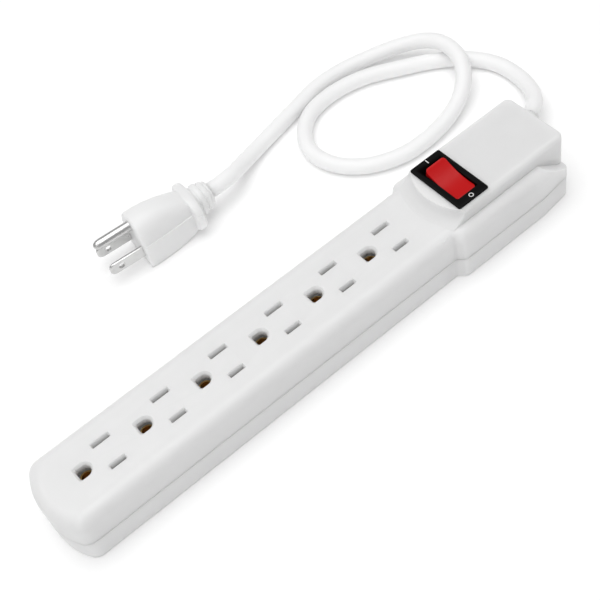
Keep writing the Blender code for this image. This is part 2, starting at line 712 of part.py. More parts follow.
def build_plug_blade(name, side, mat):
    """Flat blade with a rounded, thinned tip and a round hole, root set in the plug."""
    tip = -17.3
    outline = [(5.7, -3.17), (5.7, 3.17), (tip + 1.8, 3.17), (tip + 0.5, 2.4), (tip, 1.4), (tip, -1.4),
               (tip + 0.5, -2.4), (tip + 1.8, -3.17)]
    bm = bmesh.new()
    layers = []
    for s, keep in ((-0.75, 0.7), (-0.35, 0.0), (0.35, 0.0), (0.75, 0.7)):
        layers.append([plug_point(b + (keep if b < 0 else 0.0), side + s, BLADE_Z + h * (1.0 - 0.08 * keep))
                       for b, h in outline])
    add_layers(bm, layers)
    blade = add_object(name, mesh_from(bm, name), PARTS, mat)
    bm = bmesh.new()
    ring = [(1.55 * math.cos(a), 1.55 * math.sin(a))
            for a in np.linspace(0, 2 * math.pi, 20, endpoint=False)]
    add_layers(bm, [[plug_point(-11.5 + b, side + s, BLADE_Z + h) for b, h in ring] for s in (-2.0, 2.0)])
    boolean(blade, cutter(name + "_hole", bm))
    return blade


def build_ground_pin(mat):
    """Hollow formed ground pin with a domed tip."""
    radius = 2.38
    stations = [(5.7, radius), (-14.6, radius), (-16.6, 2.1), (-17.8, 1.5), (-18.4, 0.7)]
    bm = bmesh.new()
    layers = []
    for back, r in stations:
        layers.append([plug_point(back, r * math.cos(a), BLADE_Z + 11.9 + r * math.sin(a))
                       for a in np.linspace(0, 2 * math.pi, 24, endpoint=False)])
    add_layers(bm, layers)
    return add_object("plug_ground_pin", mesh_from(bm, "plug_ground_pin"), PARTS, mat)


def build_wires(black, white, green):
    stub_x = CORD_EXIT[0] - 13.8
    end_x = stub_x - 12.5
    tube_object("cord_stub", [(stub_x, 13.2, 12.0), (stub_x - 4, 13.2, 12.0), (stub_x - 8, 13.2, 12.0),
                              (end_x, 13.2, 12.0)], CORD_R, white, resolution=3)
    start = end_x - 0.3
    line = [(start, 13.2, 13.5), (start - 4, 12.9, 13.5), (96.0, 10.0, 12.9), (91.0, 5.0, 11.8),
            (87.0, 1.2, 11.1), (84.6, 0.0, 11.0), (SW_X + 3.45, 0.0, 11.0)]
    neutral = [(start, 14.5, 11.2), (start - 4, 14.6, 11.0), (95.0, 15.4, 10.0), (87.0, 16.2, 9.2),
               (76.0, 16.0, 8.8), (69.0, 12.6, 8.6), (64.2, 8.0, 8.6), (61.6, 6.5, 8.6), (58.8, 6.35, 8.6)]
    ground = [(start, 11.9, 11.2), (start - 4, 11.8, 10.4), (94.0, 9.8, 6.6), (86.0, 6.6, 4.9),
              (76.0, 3.2, 4.6), (68.0, 0.8, 4.6), (64.0, 0.0, 4.6), (61.3, 0.0, 4.6)]
    load = [(SW_X - 3.45, -TAB_Y, 11.0), (73.6, -TAB_Y, 10.9), (68.0, -7.4, 10.0), (63.0, -6.5, 8.9),
            (61.0, -6.35, 8.6), (58.8, -6.35, 8.6)]
    lamp = [(SW_X - 3.45, TAB_Y, 11.0), (73.6, TAB_Y, 11.3), (68.0, 7.8, 13.0), (62.0, 6.9, 14.2),
            (57.5, 6.4, 13.6), (55.3, 6.35, 11.6), (55.0, 6.35, 9.3)]
    tube_object("line_wire", smooth_line(line, 2.6), WIRE_R, black)
    tube_object("neutral_wire", smooth_line(neutral, 2.6), WIRE_R, white)
    tube_object("ground_wire", smooth_line(ground, 2.6), WIRE_R, green)
    tube_object("load_wire", smooth_line(load, 2.6), WIRE_R, black)
    tube_object("lamp_wire", smooth_line(lamp, 2.2), WIRE_R, white)


clear_scene()
PARTS = make_collection("power_strip")
CUTTERS = make_collection("cutters")

white_plastic = make_material("white_plastic", (0.86, 0.86, 0.85), 0.42)
black_plastic = make_material("black_plastic", (0.02, 0.02, 0.022), 0.38)
red_plastic = make_material("red_plastic", (0.6, 0.02, 0.02), 0.3)
brass = make_material("brass", (0.72, 0.52, 0.22), 0.35, metallic=1.0)
nickel = make_material("nickel", (0.72, 0.72, 0.70), 0.28, metallic=1.0)
steel = make_material("zinc_steel", (0.6, 0.6, 0.62), 0.4, metallic=1.0)
white_pvc = make_material("white_pvc", (0.86, 0.86, 0.86), 0.5)
black_pvc = make_material("black_pvc", (0.03, 0.03, 0.03), 0.5)
green_pvc = make_material("green_pvc", (0.03, 0.3, 0.08), 0.5)
lamp_glass = make_material("lamp_glass", (0.9, 0.45, 0.25), 0.1)
resistor_body = make_material("resistor_body", (0.55, 0.42, 0.28), 0.5)

build_top_cover(white_plastic)
build_bottom_cover(white_plastic)
for number, spot in enumerate(SCREWS, 1):
    build_screw(number, spot, steel)
build_blade_bar("hot_bus_bar", -SLOT_Y, 58.5, brass)
build_blade_bar("neutral_bus_bar", SLOT_Y, 58.5, brass)
build_ground_bar(brass)
build_switch_housing(black_plastic)
build_rocker(red_plastic)
build_plunger(black_plastic)
build_spring(steel)
build_lever(brass)
build_terminal("line_terminal", 0.0, LEVER_Z - 1.0, brass)
build_terminal("load_terminal", -TAB_Y, 19.0, brass)
build_terminal("lamp_terminal", TAB_Y, 18.6, brass)
build_lamp(lamp_glass)
build_resistor(resistor_body)
build_grip(white_pvc)
build_wires(black_pvc, white_pvc, green_pvc)
build_cord(white_pvc)
build_plug_body(white_pvc)
build_plug_blade("plug_blade_hot", -6.35, nickel)
build_plug_blade("plug_blade_neutral", 6.35, nickel)
build_ground_pin(nickel)
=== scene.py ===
import json
import math

import bmesh
import bpy
import numpy as np
from mathutils import Matrix, Vector

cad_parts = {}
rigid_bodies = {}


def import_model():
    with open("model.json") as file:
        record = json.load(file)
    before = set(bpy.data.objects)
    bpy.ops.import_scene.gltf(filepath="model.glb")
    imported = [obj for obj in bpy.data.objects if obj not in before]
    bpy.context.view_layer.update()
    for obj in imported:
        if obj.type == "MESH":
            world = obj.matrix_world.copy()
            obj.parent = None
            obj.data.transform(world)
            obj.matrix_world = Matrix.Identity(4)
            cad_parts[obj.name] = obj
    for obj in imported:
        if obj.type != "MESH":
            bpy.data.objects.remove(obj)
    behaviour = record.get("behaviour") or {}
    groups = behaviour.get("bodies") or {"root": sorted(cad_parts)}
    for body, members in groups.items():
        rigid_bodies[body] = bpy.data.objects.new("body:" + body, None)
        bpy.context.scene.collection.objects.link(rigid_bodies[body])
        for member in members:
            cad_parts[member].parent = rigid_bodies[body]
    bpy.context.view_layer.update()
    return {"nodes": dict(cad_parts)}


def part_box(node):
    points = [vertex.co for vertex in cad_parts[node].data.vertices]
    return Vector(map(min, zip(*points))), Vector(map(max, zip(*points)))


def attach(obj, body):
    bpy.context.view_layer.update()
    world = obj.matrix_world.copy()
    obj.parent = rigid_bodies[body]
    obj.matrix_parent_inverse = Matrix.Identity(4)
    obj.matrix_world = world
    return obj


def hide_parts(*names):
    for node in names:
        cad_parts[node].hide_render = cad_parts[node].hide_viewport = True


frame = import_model()

MM = 0.001

# Cord: from the grip, once round in a loose loop, over itself in a low hump, to the plug
CORD_D = 0.0076
# (the exit and the grip's bend are in millimetres, the route in metres)
CORD_EXIT = (130.0, 13.2, 12.0)
GRIP_BEND_R = 26.0
GRIP_OUT = 13.0
GRIP_FALL = 0.06
CORD_ROUTE = [
    (0.1523, 0.0229, 0.0095), (0.1587, 0.0316, 0.0063), (0.1626, 0.0439, 0.0042), (0.1619, 0.0575, 0.0039),
    (0.1554, 0.0703, 0.0039), (0.1446, 0.0808, 0.0039), (0.1300, 0.0900, 0.0039), (0.1130, 0.0990, 0.0039),
    (0.0955, 0.1023, 0.0039), (0.0793, 0.0994, 0.0039), (0.0682, 0.0895, 0.0039), (0.0645, 0.0770, 0.0039),
    (0.0681, 0.0639, 0.0039), (0.0780, 0.0534, 0.0039), (0.0924, 0.0471, 0.0039), (0.1090, 0.0463, 0.0041),
    (0.1260, 0.0493, 0.0056), (0.1386, 0.0556, 0.0084), (0.1462, 0.0644, 0.0112), (0.1493, 0.0740, 0.0121),
    (0.1486, 0.0836, 0.0117), (0.1442, 0.0924, 0.0098), (0.1356, 0.1004, 0.0070), (0.1232, 0.1068, 0.0048),
    (0.1090, 0.1109, 0.0039), (0.0945, 0.1114, 0.0039), (0.0802, 0.1086, 0.0039), (0.0653, 0.1052, 0.0039),
    (0.0506, 0.1016, 0.0042), (0.0375, 0.0967, 0.0066), (0.0270, 0.0909, 0.0112),
]

# Plug: the middle of its blade face, and its turn on the surface
PLUG_FACE = (-0.0269, 0.0926)
PLUG_YAW = math.radians(-4.7)
PLUG_AXIS_Z = 12.7

# Switch
SW_X = 0.0795

# Top cover, in millimetres
LENGTH = 260.0
HALF_WIDTH = 19.3
HEAD_HALF = 22.5
HEAD_END_HALF = 20.4
FACE_Z = 27.0
SEAM_Z = (11.85, 12.15)
FLOOR = 2.4
TRAY_WALL = 3.9
FOOT_EDGE_R = 1.2
BAR_Z = 8.2
GROUND_BAR_Z = 4.2
SCREW_HEAD_R = 2.9
TOP_WALL = 2.4
FACE_WALL = 4.0
EDGE_R = 5.6
NEAR_BOW = 5.7
NEAR_CORNER_R = 6.0
STEP_X = (63.5, 66.8)
NECK_X = 112.0
HOLLOW_END_X = 108.0
SHOULDER_X = 112.5
SHOULDER_Z = 27.76
SHOULDER_SLOPE = 0.729
PLATFORM_Z = 34.0
PLATFORM_HALF = 16.8
PLATFORM_EDGE_R = 2.2
RAMP_X = 93.0
RAMP_R = 31.5
RAMP_REACH = 5.0
SWITCH_HOLE = (7.1, 13.6)
BOSSES = [(-119.0, 0.0), (-31.3, 12.2), (-31.3, -12.2), (59.8, 14.5), (59.8, -14.5), (119.0, 0.0)]
CORD_HOLE_R = 4.7

# Outlet openings, in millimetres
OUTLETS = 6
PITCH = 28.6
FIRST_X = -97.0
SLOT_Y = 6.35
SLOT_T = 2.5
SLOT_LENGTHS = ((6.35, 8.4), (-6.35, 7.4))
SLOT_LIP = 0.15
SLOT_LEAD = 0.4
SLOT_LEAD_DEPTH = 1.2
GROUND_BACK = 11.9
GROUND_W = 5.4
GROUND_L = 5.8
GROUND_CHAMFER = (0.9, 1.2)


def v(point):
    """Point in millimetres as a vector in metres."""
    return Vector(point) * MM


# ---------------------------------------------------------------- camera, stage and light

def make_camera():
    azimuth, elevation, roll = (math.radians(a) for a in (-26.457, 52.906, -15.587))
    back = Vector((math.sin(azimuth) * math.cos(elevation), -math.cos(azimuth) * math.cos(elevation),
                   math.sin(elevation)))
    right = (-back).cross(Vector((0, 0, 1))).normalized()
    up = right.cross(-back)
    x_axis = math.cos(roll) * right + math.sin(roll) * up
    y_axis = -math.sin(roll) * right + math.cos(roll) * up
    data = bpy.data.cameras.new("camera")
    data.lens = 71.9565
    data.sensor_width = 36.0
    data.clip_start = 0.01
    data.clip_end = 20.0
    cam = bpy.data.objects.new("camera", data)
    bpy.context.scene.collection.objects.link(cam)
    matrix = Matrix((x_axis, y_axis, back)).transposed().to_4x4()
    matrix.translation = Vector((-0.13032, -0.25823, 0.41133))
    cam.matrix_world = matrix
    bpy.context.scene.camera = cam


def soft_light(name, place, size, power):
    """Square softbox at a place, turned to face the middle of the object."""
    data = bpy.data.lights.new(name, "AREA")
    data.size = size
    data.energy = power
    light = bpy.data.objects.new(name, data)
    bpy.context.scene.collection.objects.link(light)
    aim = Vector((0.02, 0.04, 0.0)) - Vector(place)
    light.rotation_euler = aim.to_track_quat("-Z", "Y").to_euler()
    light.location = place


def make_stage():
    scene = bpy.context.scene
    scene.view_settings.view_transform = "Standard"
    bpy.ops.mesh.primitive_plane_add(size=6.0, location=(0, 0, 0))
    floor = bpy.context.object
    floor.name = "floor"
    mat = bpy.data.materials.new("pale_floor")
    mat.use_nodes = True
    bsdf = mat.node_tree.nodes["Principled BSDF"]
    bsdf.inputs["Base Color"].default_value = (0.94, 0.94, 0.94, 1)
    bsdf.inputs["Roughness"].default_value = 0.95
    bsdf.inputs["Specular IOR Level"].default_value = 0.0
    bsdf.inputs["Emission Color"].default_value = (1, 1, 1, 1)
    bsdf.inputs["Emission Strength"].default_value = 0.10
    floor.data.materials.append(mat)
    world = bpy.data.worlds.new("studio")
    scene.world = world
    world.use_nodes = True
    world.node_tree.nodes["Background"].inputs["Color"].default_value = (1, 1, 1, 1)
    world.node_tree.nodes["Background"].inputs["Strength"].default_value = 0.40
    soft_light("top_softbox", (-0.08, 0.12, 1.5), 1.6, 18.0)
    soft_light("side_softbox", (-1.2, -0.9, 0.9), 0.8, 2.2)


# ---------------------------------------------------------------- shader groups

def new_group(name, inputs, outputs):
    group = bpy.data.node_groups.new(name, "ShaderNodeTree")
    for label, kind, value in inputs:
        socket = group.interface.new_socket(label, in_out="INPUT", socket_type=kind)
        socket.default_value = value
    for label, kind in outputs:
        group.interface.new_socket(label, in_out="OUTPUT", socket_type=kind)
    return group, group.nodes.new("NodeGroupInput"), group.nodes.new("NodeGroupOutput")


def noise(tree, vector, scale, detail=2.0, roughness=0.5):
    node = tree.nodes.new("ShaderNodeTexNoise")
    node.inputs["Detail"].default_value = detail
    node.inputs["Roughness"].default_value = roughness
    tree.links.new(vector, node.inputs["Vector"])
    if isinstance(scale, float):
        node.inputs["Scale"].default_value = scale
    else:
        tree.links.new(scale, node.inputs["Scale"])
    return node.outputs["Fac"]


def math_node(tree, operation, a, b=None, clamp=False):
    node = tree.nodes.new("ShaderNodeMath")
    node.operation = operation
    node.use_clamp = clamp
    for socket, value in zip(node.inputs, (a, b)):
        if value is None:
            continue
        if isinstance(value, (int, float)):
            socket.default_value = value
        else:
            tree.links.new(value, socket)
    return node.outputs[0]


def mix_colour(tree, factor, a, b, blend="MIX"):
    node = tree.nodes.new("ShaderNodeMix")
    node.data_type = "RGBA"
    node.blend_type = blend
    for socket, value in ((node.inputs[0], factor), (node.inputs[6], a), (node.inputs[7], b)):
        if isinstance(value, (int, float)):
            socket.default_value = value
        elif isinstance(value, tuple):
            socket.default_value = (*value, 1.0)
        else:
            tree.links.new(value, socket)
    return node.outputs[2]


def object_vector(tree, scale=(1.0, 1.0, 1.0), place=(0.0, 0.0, 0.0)):
    coords = tree.nodes.new("ShaderNodeTexCoord")
    mapping = tree.nodes.new("ShaderNodeMapping")
    mapping.inputs["Scale"].default_value = scale
    mapping.inputs["Location"].default_value = place
    tree.links.new(coords.outputs["Object"], mapping.inputs["Vector"])
    return mapping.outputs["Vector"]


def moulded_grain_group():
    """Spark-eroded grain of a moulded plastic, with slow unevenness and rubbed outer edges."""
    group, inp, out = new_group("moulded_grain", [
        ("Vector", "NodeSocketVector", (0.0, 0.0, 0.0)),
        ("Colour", "NodeSocketColor", (0.8, 0.8, 0.8, 1.0)),
        ("Rubbed Colour", "NodeSocketColor", (0.9, 0.9, 0.9, 1.0)),
        ("Grain Scale", "NodeSocketFloat", 1800.0),
        ("Roughness", "NodeSocketFloat", 0.4),
        ("Unevenness", "NodeSocketFloat", 0.04),
        ("Rub", "NodeSocketFloat", 0.3),
    ], [("Colour", "NodeSocketColor"), ("Roughness", "NodeSocketFloat"), ("Height", "NodeSocketFloat")])
    vector = inp.outputs["Vector"]
    grain = noise(group, vector, inp.outputs["Grain Scale"], 3.0, 0.6)
    flow = noise(group, vector, 22.0, 3.0, 0.5)
    patches = noise(group, vector, 70.0, 4.0, 0.6)
    geometry = group.nodes.new("ShaderNodeNewGeometry")
    raised = math_node(group, "SUBTRACT", geometry.outputs["Pointiness"], 0.52)
    edge = math_node(group, "MULTIPLY", raised, 9.0, True)
    worn = math_node(group, "MULTIPLY", edge, patches)
    edge = math_node(group, "MULTIPLY", worn, inp.outputs["Rub"], True)
    shade = math_node(group, "MULTIPLY", math_node(group, "SUBTRACT", flow, 0.5), inp.outputs["Unevenness"])
    value = math_node(group, "ADD", 1.0, shade)
    grey = group.nodes.new("ShaderNodeCombineColor")
    for socket in grey.inputs[:3]:
        group.links.new(value, socket)
    toned = mix_colour(group, 1.0, inp.outputs["Colour"], grey.outputs[0], "MULTIPLY")
    colour = mix_colour(group, edge, toned, inp.outputs["Rubbed Colour"])
    rough = math_node(group, "ADD", inp.outputs["Roughness"],
                      math_node(group, "MULTIPLY", math_node(group, "SUBTRACT", patches, 0.5), 0.12))
    rough = math_node(group, "SUBTRACT", rough, math_node(group, "MULTIPLY", edge, 0.15), True)
    group.links.new(colour, out.inputs["Colour"])
    group.links.new(rough, out.inputs["Roughness"])
    group.links.new(grain, out.inputs["Height"])
    return group


def rolled_metal_group():
    """Rolled or drawn metal: fine lines along the piece, faint stains and rubbed patches."""
    group, inp, out = new_group("rolled_metal", [
        ("Line Vector", "NodeSocketVector", (0.0, 0.0, 0.0)),
        ("Vector", "NodeSocketVector", (0.0, 0.0, 0.0)),
        ("Colour", "NodeSocketColor", (0.7, 0.7, 0.7, 1.0)),
        ("Stain Colour", "NodeSocketColor", (0.4, 0.4, 0.4, 1.0)),
        ("Roughness", "NodeSocketFloat", 0.3),
        ("Stain", "NodeSocketFloat", 0.3),
    ], [("Colour", "NodeSocketColor"), ("Roughness", "NodeSocketFloat"), ("Height", "NodeSocketFloat")])
    lines = noise(group, inp.outputs["Line Vector"], 900.0, 2.0, 0.6)
    stains = noise(group, inp.outputs["Vector"], 160.0, 4.0, 0.6)
    mask = math_node(group, "MULTIPLY", math_node(group, "SUBTRACT", stains, 0.48), 4.0, True)
    mask = math_node(group, "MULTIPLY", mask, inp.outputs["Stain"], True)
    colour = mix_colour(group, mask, inp.outputs["Colour"], inp.outputs["Stain Colour"])
    rough = math_node(group, "ADD", inp.outputs["Roughness"],
                      math_node(group, "MULTIPLY", math_node(group, "SUBTRACT", lines, 0.5), 0.22))
    rough = math_node(group, "ADD", rough, math_node(group, "MULTIPLY", mask, 0.25), True)
    group.links.new(colour, out.inputs["Colour"])
    group.links.new(rough, out.inputs["Roughness"])
    group.links.new(lines, out.inputs["Height"])
    return group


def material_with(name, group, values, vectors, bump, plain):
    """Principled material fed by a surface group; plain values sit on the shader's own sockets."""
    mat = bpy.data.materials.new(name)
    mat.use_nodes = True
    tree = mat.node_tree
    bsdf = tree.nodes["Principled BSDF"]
    surface = tree.nodes.new("ShaderNodeGroup")
    surface.node_tree = group
    for label, value in values.items():
        surface.inputs[label].default_value = (*value, 1.0) if isinstance(value, tuple) else value
    for label, scale in vectors.items():
        tree.links.new(object_vector(tree, scale), surface.inputs[label])
    tree.links.new(surface.outputs["Colour"], bsdf.inputs["Base Color"])
    tree.links.new(surface.outputs["Roughness"], bsdf.inputs["Roughness"])
    bump_node = tree.nodes.new("ShaderNodeBump")
    bump_node.inputs["Strength"].default_value = bump[0]
    bump_node.inputs["Distance"].default_value = bump[1]
    tree.links.new(surface.outputs["Height"], bump_node.inputs["Height"])
    tree.links.new(bump_node.outputs["Normal"], bsdf.inputs["Normal"])
    for label, value in plain.items():
        bsdf.inputs[label].default_value = value
    return mat


GRAIN = moulded_grain_group()
METAL = rolled_metal_group()


def plastic(name, colour, rubbed, roughness, grain=1800.0, uneven=0.04, rub=0.3, bump=0.12, **plain):
    return material_with(name, GRAIN, {"Colour": colour, "Rubbed Colour": rubbed, "Grain Scale": grain,
                                       "Roughness": roughness, "Unevenness": uneven, "Rub": rub},
                         {"Vector": (1.0, 1.0, 1.0)}, (bump, 0.00006), plain)


def metal(name, colour, stain_colour, roughness, along, stain=0.3):
    stretch = tuple(0.06 if axis == along else 1.0 for axis in "XYZ")
    return material_with(name, METAL, {"Colour": colour, "Stain Colour": stain_colour,
                                       "Roughness": roughness, "Stain": stain},
                         {"Line Vector": stretch, "Vector": (1.0, 1.0, 1.0)}, (0.15, 0.00004),
                         {"Metallic": 1.0})


DEEP = {"Subsurface Weight": 0.8, "Subsurface Scale": 0.006, "Subsurface Radius": (1.0, 1.0, 1.0)}
white_shell = plastic("white_shell_plastic", (0.80, 0.80, 0.80), (0.86, 0.86, 0.86), 0.42,
                      uneven=0.03, **DEEP)
white_cover = plastic("white_base_plastic", (0.78, 0.78, 0.78), (0.84, 0.84, 0.84), 0.46,
                      uneven=0.03, **DEEP)
soft_white = plastic("white_cord_vinyl", (0.89, 0.89, 0.89), (0.92, 0.92, 0.92), 0.5, grain=2600.0,
                     uneven=0.03, rub=0.1, bump=0.2, **DEEP)
plug_vinyl = plastic("white_plug_vinyl", (0.83, 0.83, 0.83), (0.88, 0.88, 0.88), 0.44, grain=2200.0,
                     uneven=0.04, rub=0.2, bump=0.15, **DEEP)
black_frame = plastic("black_frame_plastic", (0.003, 0.003, 0.003), (0.02, 0.02, 0.02), 0.42,
                      rub=0.5, bump=0.1,
                      **{"Specular IOR Level": 0.06})
mark_ink = plastic("white_mark_ink", (0.72, 0.72, 0.72), (0.8, 0.8, 0.8), 0.5, grain=3000.0, rub=0.0)
red_lens = plastic("red_rocker_plastic", (0.50, 0.004, 0.005), (0.60, 0.02, 0.02), 0.30, uneven=0.12, rub=0.2,
                   bump=0.05, **{"Specular IOR Level": 0.18, "Coat Weight": 0.03, "Coat Roughness": 0.1})
black_wire = plastic("black_wire_vinyl", (0.02, 0.02, 0.02), (0.05, 0.05, 0.05), 0.5)
white_wire = plastic("white_wire_vinyl", (0.75, 0.75, 0.74), (0.8, 0.8, 0.8), 0.5)
green_wire = plastic("green_wire_vinyl", (0.02, 0.22, 0.06), (0.05, 0.3, 0.1), 0.5)
lamp_glass = plastic("pilot_lamp_glass", (0.85, 0.40, 0.22), (0.9, 0.5, 0.3), 0.12)
resistor = plastic("resistor_lacquer", (0.50, 0.38, 0.24), (0.6, 0.45, 0.3), 0.45)
brass = metal("contact_brass", (0.72, 0.50, 0.20), (0.35, 0.22, 0.10), 0.32, "X")
nickel = metal("nickel_plate", (0.64, 0.64, 0.635), (0.44, 0.43, 0.42), 0.30, "X", 0.4)
zinc = metal("zinc_steel", (0.62, 0.63, 0.65), (0.42, 0.42, 0.43), 0.36, "Z")


# ---------------------------------------------------------------- finishing CAD copies

def mesh_piece(name, mesh, mat, body, slot_name, *stands_for):
    obj = bpy.data.objects.new(name, mesh)
    bpy.context.scene.collection.objects.link(obj)
    mesh.materials.clear()
    mesh.materials.append(mat)
    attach(obj, body)
    if stands_for:
        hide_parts(*stands_for)
    return obj


def smooth_by_angle(mesh, degrees):
    mesh.shade_smooth()
    mesh.set_sharp_from_angle(angle=math.radians(degrees))


def dressed_copy(node, mat, body, slot_name, round_mm, sharp=34.0, segments=2):
    """Merged copy of a CAD node whose sharp edges are really rounded."""
    source = bpy.data.objects[node].data
    bm = bmesh.new()
    bm.from_mesh(source)
    bmesh.ops.remove_doubles(bm, verts=bm.verts, dist=1e-6)
    mesh = bpy.data.meshes.new(node + "_finished")
    bm.to_mesh(mesh)
    bm.free()
    smooth_by_angle(mesh, sharp)
    obj = mesh_piece(node + "_finished", mesh, mat, body, slot_name, node)
    if round_mm > 0.0:
        bevel = obj.modifiers.new("rounded_edges", "BEVEL")
        bevel.width = round_mm * MM
        bevel.segments = segments
        bevel.limit_method = "ANGLE"
        bevel.angle_limit = math.radians(sharp)
        bevel.use_clamp_overlap = False
    weigh_normals(obj)
    return obj


def repaint(mat, *nodes):
    """Material on CAD nodes whose shape is already right."""
    for node in nodes:
        obj = bpy.data.objects[node]
        if not obj.data.materials:
            obj.data.materials.append(mat)
        for slot in obj.material_slots:
            slot.material = mat


# ---------------------------------------------------------------- cord

def smooth_line(controls, step):
    """Evenly spaced points on a smooth curve through the control points."""
    pts = np.array(controls, float)
    pts = np.vstack([2 * pts[0] - pts[1], pts, 2 * pts[-1] - pts[-2]])
    dense = []
    for p0, p1, p2, p3 in zip(pts, pts[1:], pts[2:], pts[3:]):
        for t in np.linspace(0.0, 1.0, 20, endpoint=False):
            dense.append(0.5 * (2 * p1 + (p2 - p0) * t + (2 * p0 - 5 * p1 + 4 * p2 - p3) * t ** 2
                                + (3 * p1 - p0 - 3 * p2 + p3) * t ** 3))
    dense.append(pts[-2])
    dense = np.array(dense)
    along = np.concatenate([[0.0], np.cumsum(np.linalg.norm(np.diff(dense, axis=0), axis=1))])
    count = max(int(round(along[-1] / step)), 2)
    at = np.linspace(0.0, along[-1], count + 1)
    return [tuple(float(np.interp(s, along, dense[:, k])) for k in range(3)) for s in at]


def plug_point(back, side, height):
    """Point in the plug's own frame, in millimetres: back from its face, to its side, and up."""
    turn_x = back * math.cos(PLUG_YAW) - side * math.sin(PLUG_YAW)
    turn_y = back * math.sin(PLUG_YAW) + side * math.cos(PLUG_YAW)
    return (PLUG_FACE[0] + turn_x * MM, PLUG_FACE[1] + turn_y * MM, height * MM)


def grip_path(distance):
    """Middle of the cord grip's bent tail, this far out from the end wall, in millimetres."""
    angle = distance / GRIP_BEND_R
    return np.array((CORD_EXIT[0] + GRIP_BEND_R * math.sin(angle),
                     CORD_EXIT[1] + GRIP_BEND_R * (1 - math.cos(angle)),
                     CORD_EXIT[2] - distance * GRIP_FALL))


def cord_points():
    """Straight out of the grip, along the route, and straight into the plug."""
    start = grip_path(GRIP_OUT)
    ahead = start - grip_path(GRIP_OUT - 1.0)
    first = tuple((start + ahead * 0.35) * MM)
    lead = tuple((start + ahead * 5.0) * MM)
    tail = plug_point(45.0, 0.0, PLUG_AXIS_Z)
    last = plug_point(40.35, 0.0, PLUG_AXIS_Z)
    return [first] + smooth_line([lead] + CORD_ROUTE + [tail], 0.0022) + [last]


def make_cord():
    points = cord_points()
    curve = bpy.data.curves.new("cord_jacket", "CURVE")
    curve.dimensions = "3D"
    curve.bevel_depth = CORD_D / 2
    curve.bevel_resolution = 6
    curve.use_fill_caps = True
    spline = curve.splines.new("POLY")
    spline.points.add(len(points) - 1)
    for point, place in zip(spline.points, points):
        point.co = (*place, 1.0)
    spline.use_smooth = True
    cord = bpy.data.objects.new("cord_jacket", curve)
    bpy.context.scene.collection.objects.link(cord)
    curve.materials.append(soft_white)
    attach(cord, "housing")
    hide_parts("power_cord")
    return cord


# ---------------------------------------------------------------- pieces by Geometry Nodes

class Tree:
    """Geometry node tree with named inputs, ended by Realize Instances and Set Material."""

    def __init__(self, name, inputs):
        self.group = bpy.data.node_groups.new(name, "GeometryNodeTree")
        self.group.interface.new_socket("Geometry", in_out="INPUT", socket_type="NodeSocketGeometry")
        self.ids = {}
        for label, kind, value in inputs:
            socket = self.group.interface.new_socket(label, in_out="INPUT", socket_type=kind)
            socket.default_value = value
            self.ids[label] = socket.identifier
        self.group.interface.new_socket("Geometry", in_out="OUTPUT", socket_type="NodeSocketGeometry")
        self.inp = self.group.nodes.new("NodeGroupInput")
        self.out = self.group.nodes.new("NodeGroupOutput")

    def add(self, kind, links=None, **props):
        node = self.group.nodes.new(kind)
        for key, value in props.items():
            setattr(node, key, value)
        for key, value in (links or {}).items():
            socket = node.inputs[key]
            if hasattr(value, "is_output"):
                self.group.links.new(value, socket)
            else:
                socket.default_value = value
        return node

    def value(self, label):
        return self.inp.outputs[label]

    def math(self, operation, a, b):
        return self.add("ShaderNodeMath", {0: a, 1: b}, operation=operation).outputs[0]

    def vector(self, x=0.0, y=0.0, z=0.0):
        return self.add("ShaderNodeCombineXYZ", {0: x, 1: y, 2: z}).outputs[0]

    def moved(self, geometry, offset):
        return self.add("GeometryNodeTransform", {"Geometry": geometry, "Translation": offset}).outputs[0]

    def joined(self, *parts):
        node = self.add("GeometryNodeJoinGeometry")
        for part in parts:
            self.group.links.new(part, node.inputs[0])
        return node.outputs[0]

    def boolean(self, operation, first, *others):
        node = self.add("GeometryNodeMeshBoolean", operation=operation, solver="EXACT")
        if operation == "DIFFERENCE":
            self.group.links.new(first, node.inputs[0])
        else:
            self.group.links.new(first, node.inputs[1])
        for other in others:
            self.group.links.new(other, node.inputs[1])
        return node.outputs[0]

    def finish(self, geometry, mat):
        real = self.add("GeometryNodeRealizeInstances", {0: geometry}).outputs[0]
        painted = self.add("GeometryNodeSetMaterial", {"Geometry": real, "Material": mat}).outputs[0]
        self.group.links.new(painted, self.out.inputs[0])


def baked(name, points, tree, values):
    """Run a tree on loose points and return the result as a plain mesh."""
    seed = bpy.data.meshes.new(name + "_points")
    seed.from_pydata(points, [], [])
    obj = bpy.data.objects.new(name + "_points", seed)
    bpy.context.scene.collection.objects.link(obj)
    mod = obj.modifiers.new("tree", "NODES")
    mod.node_group = tree.group
    for label, value in values.items():
        mod[tree.ids[label]] = value
    graph = bpy.context.evaluated_depsgraph_get()
    mesh = bpy.data.meshes.new_from_object(obj.evaluated_get(graph))
    mesh.name = name
    bpy.data.objects.remove(obj, do_unlink=True)
    return mesh


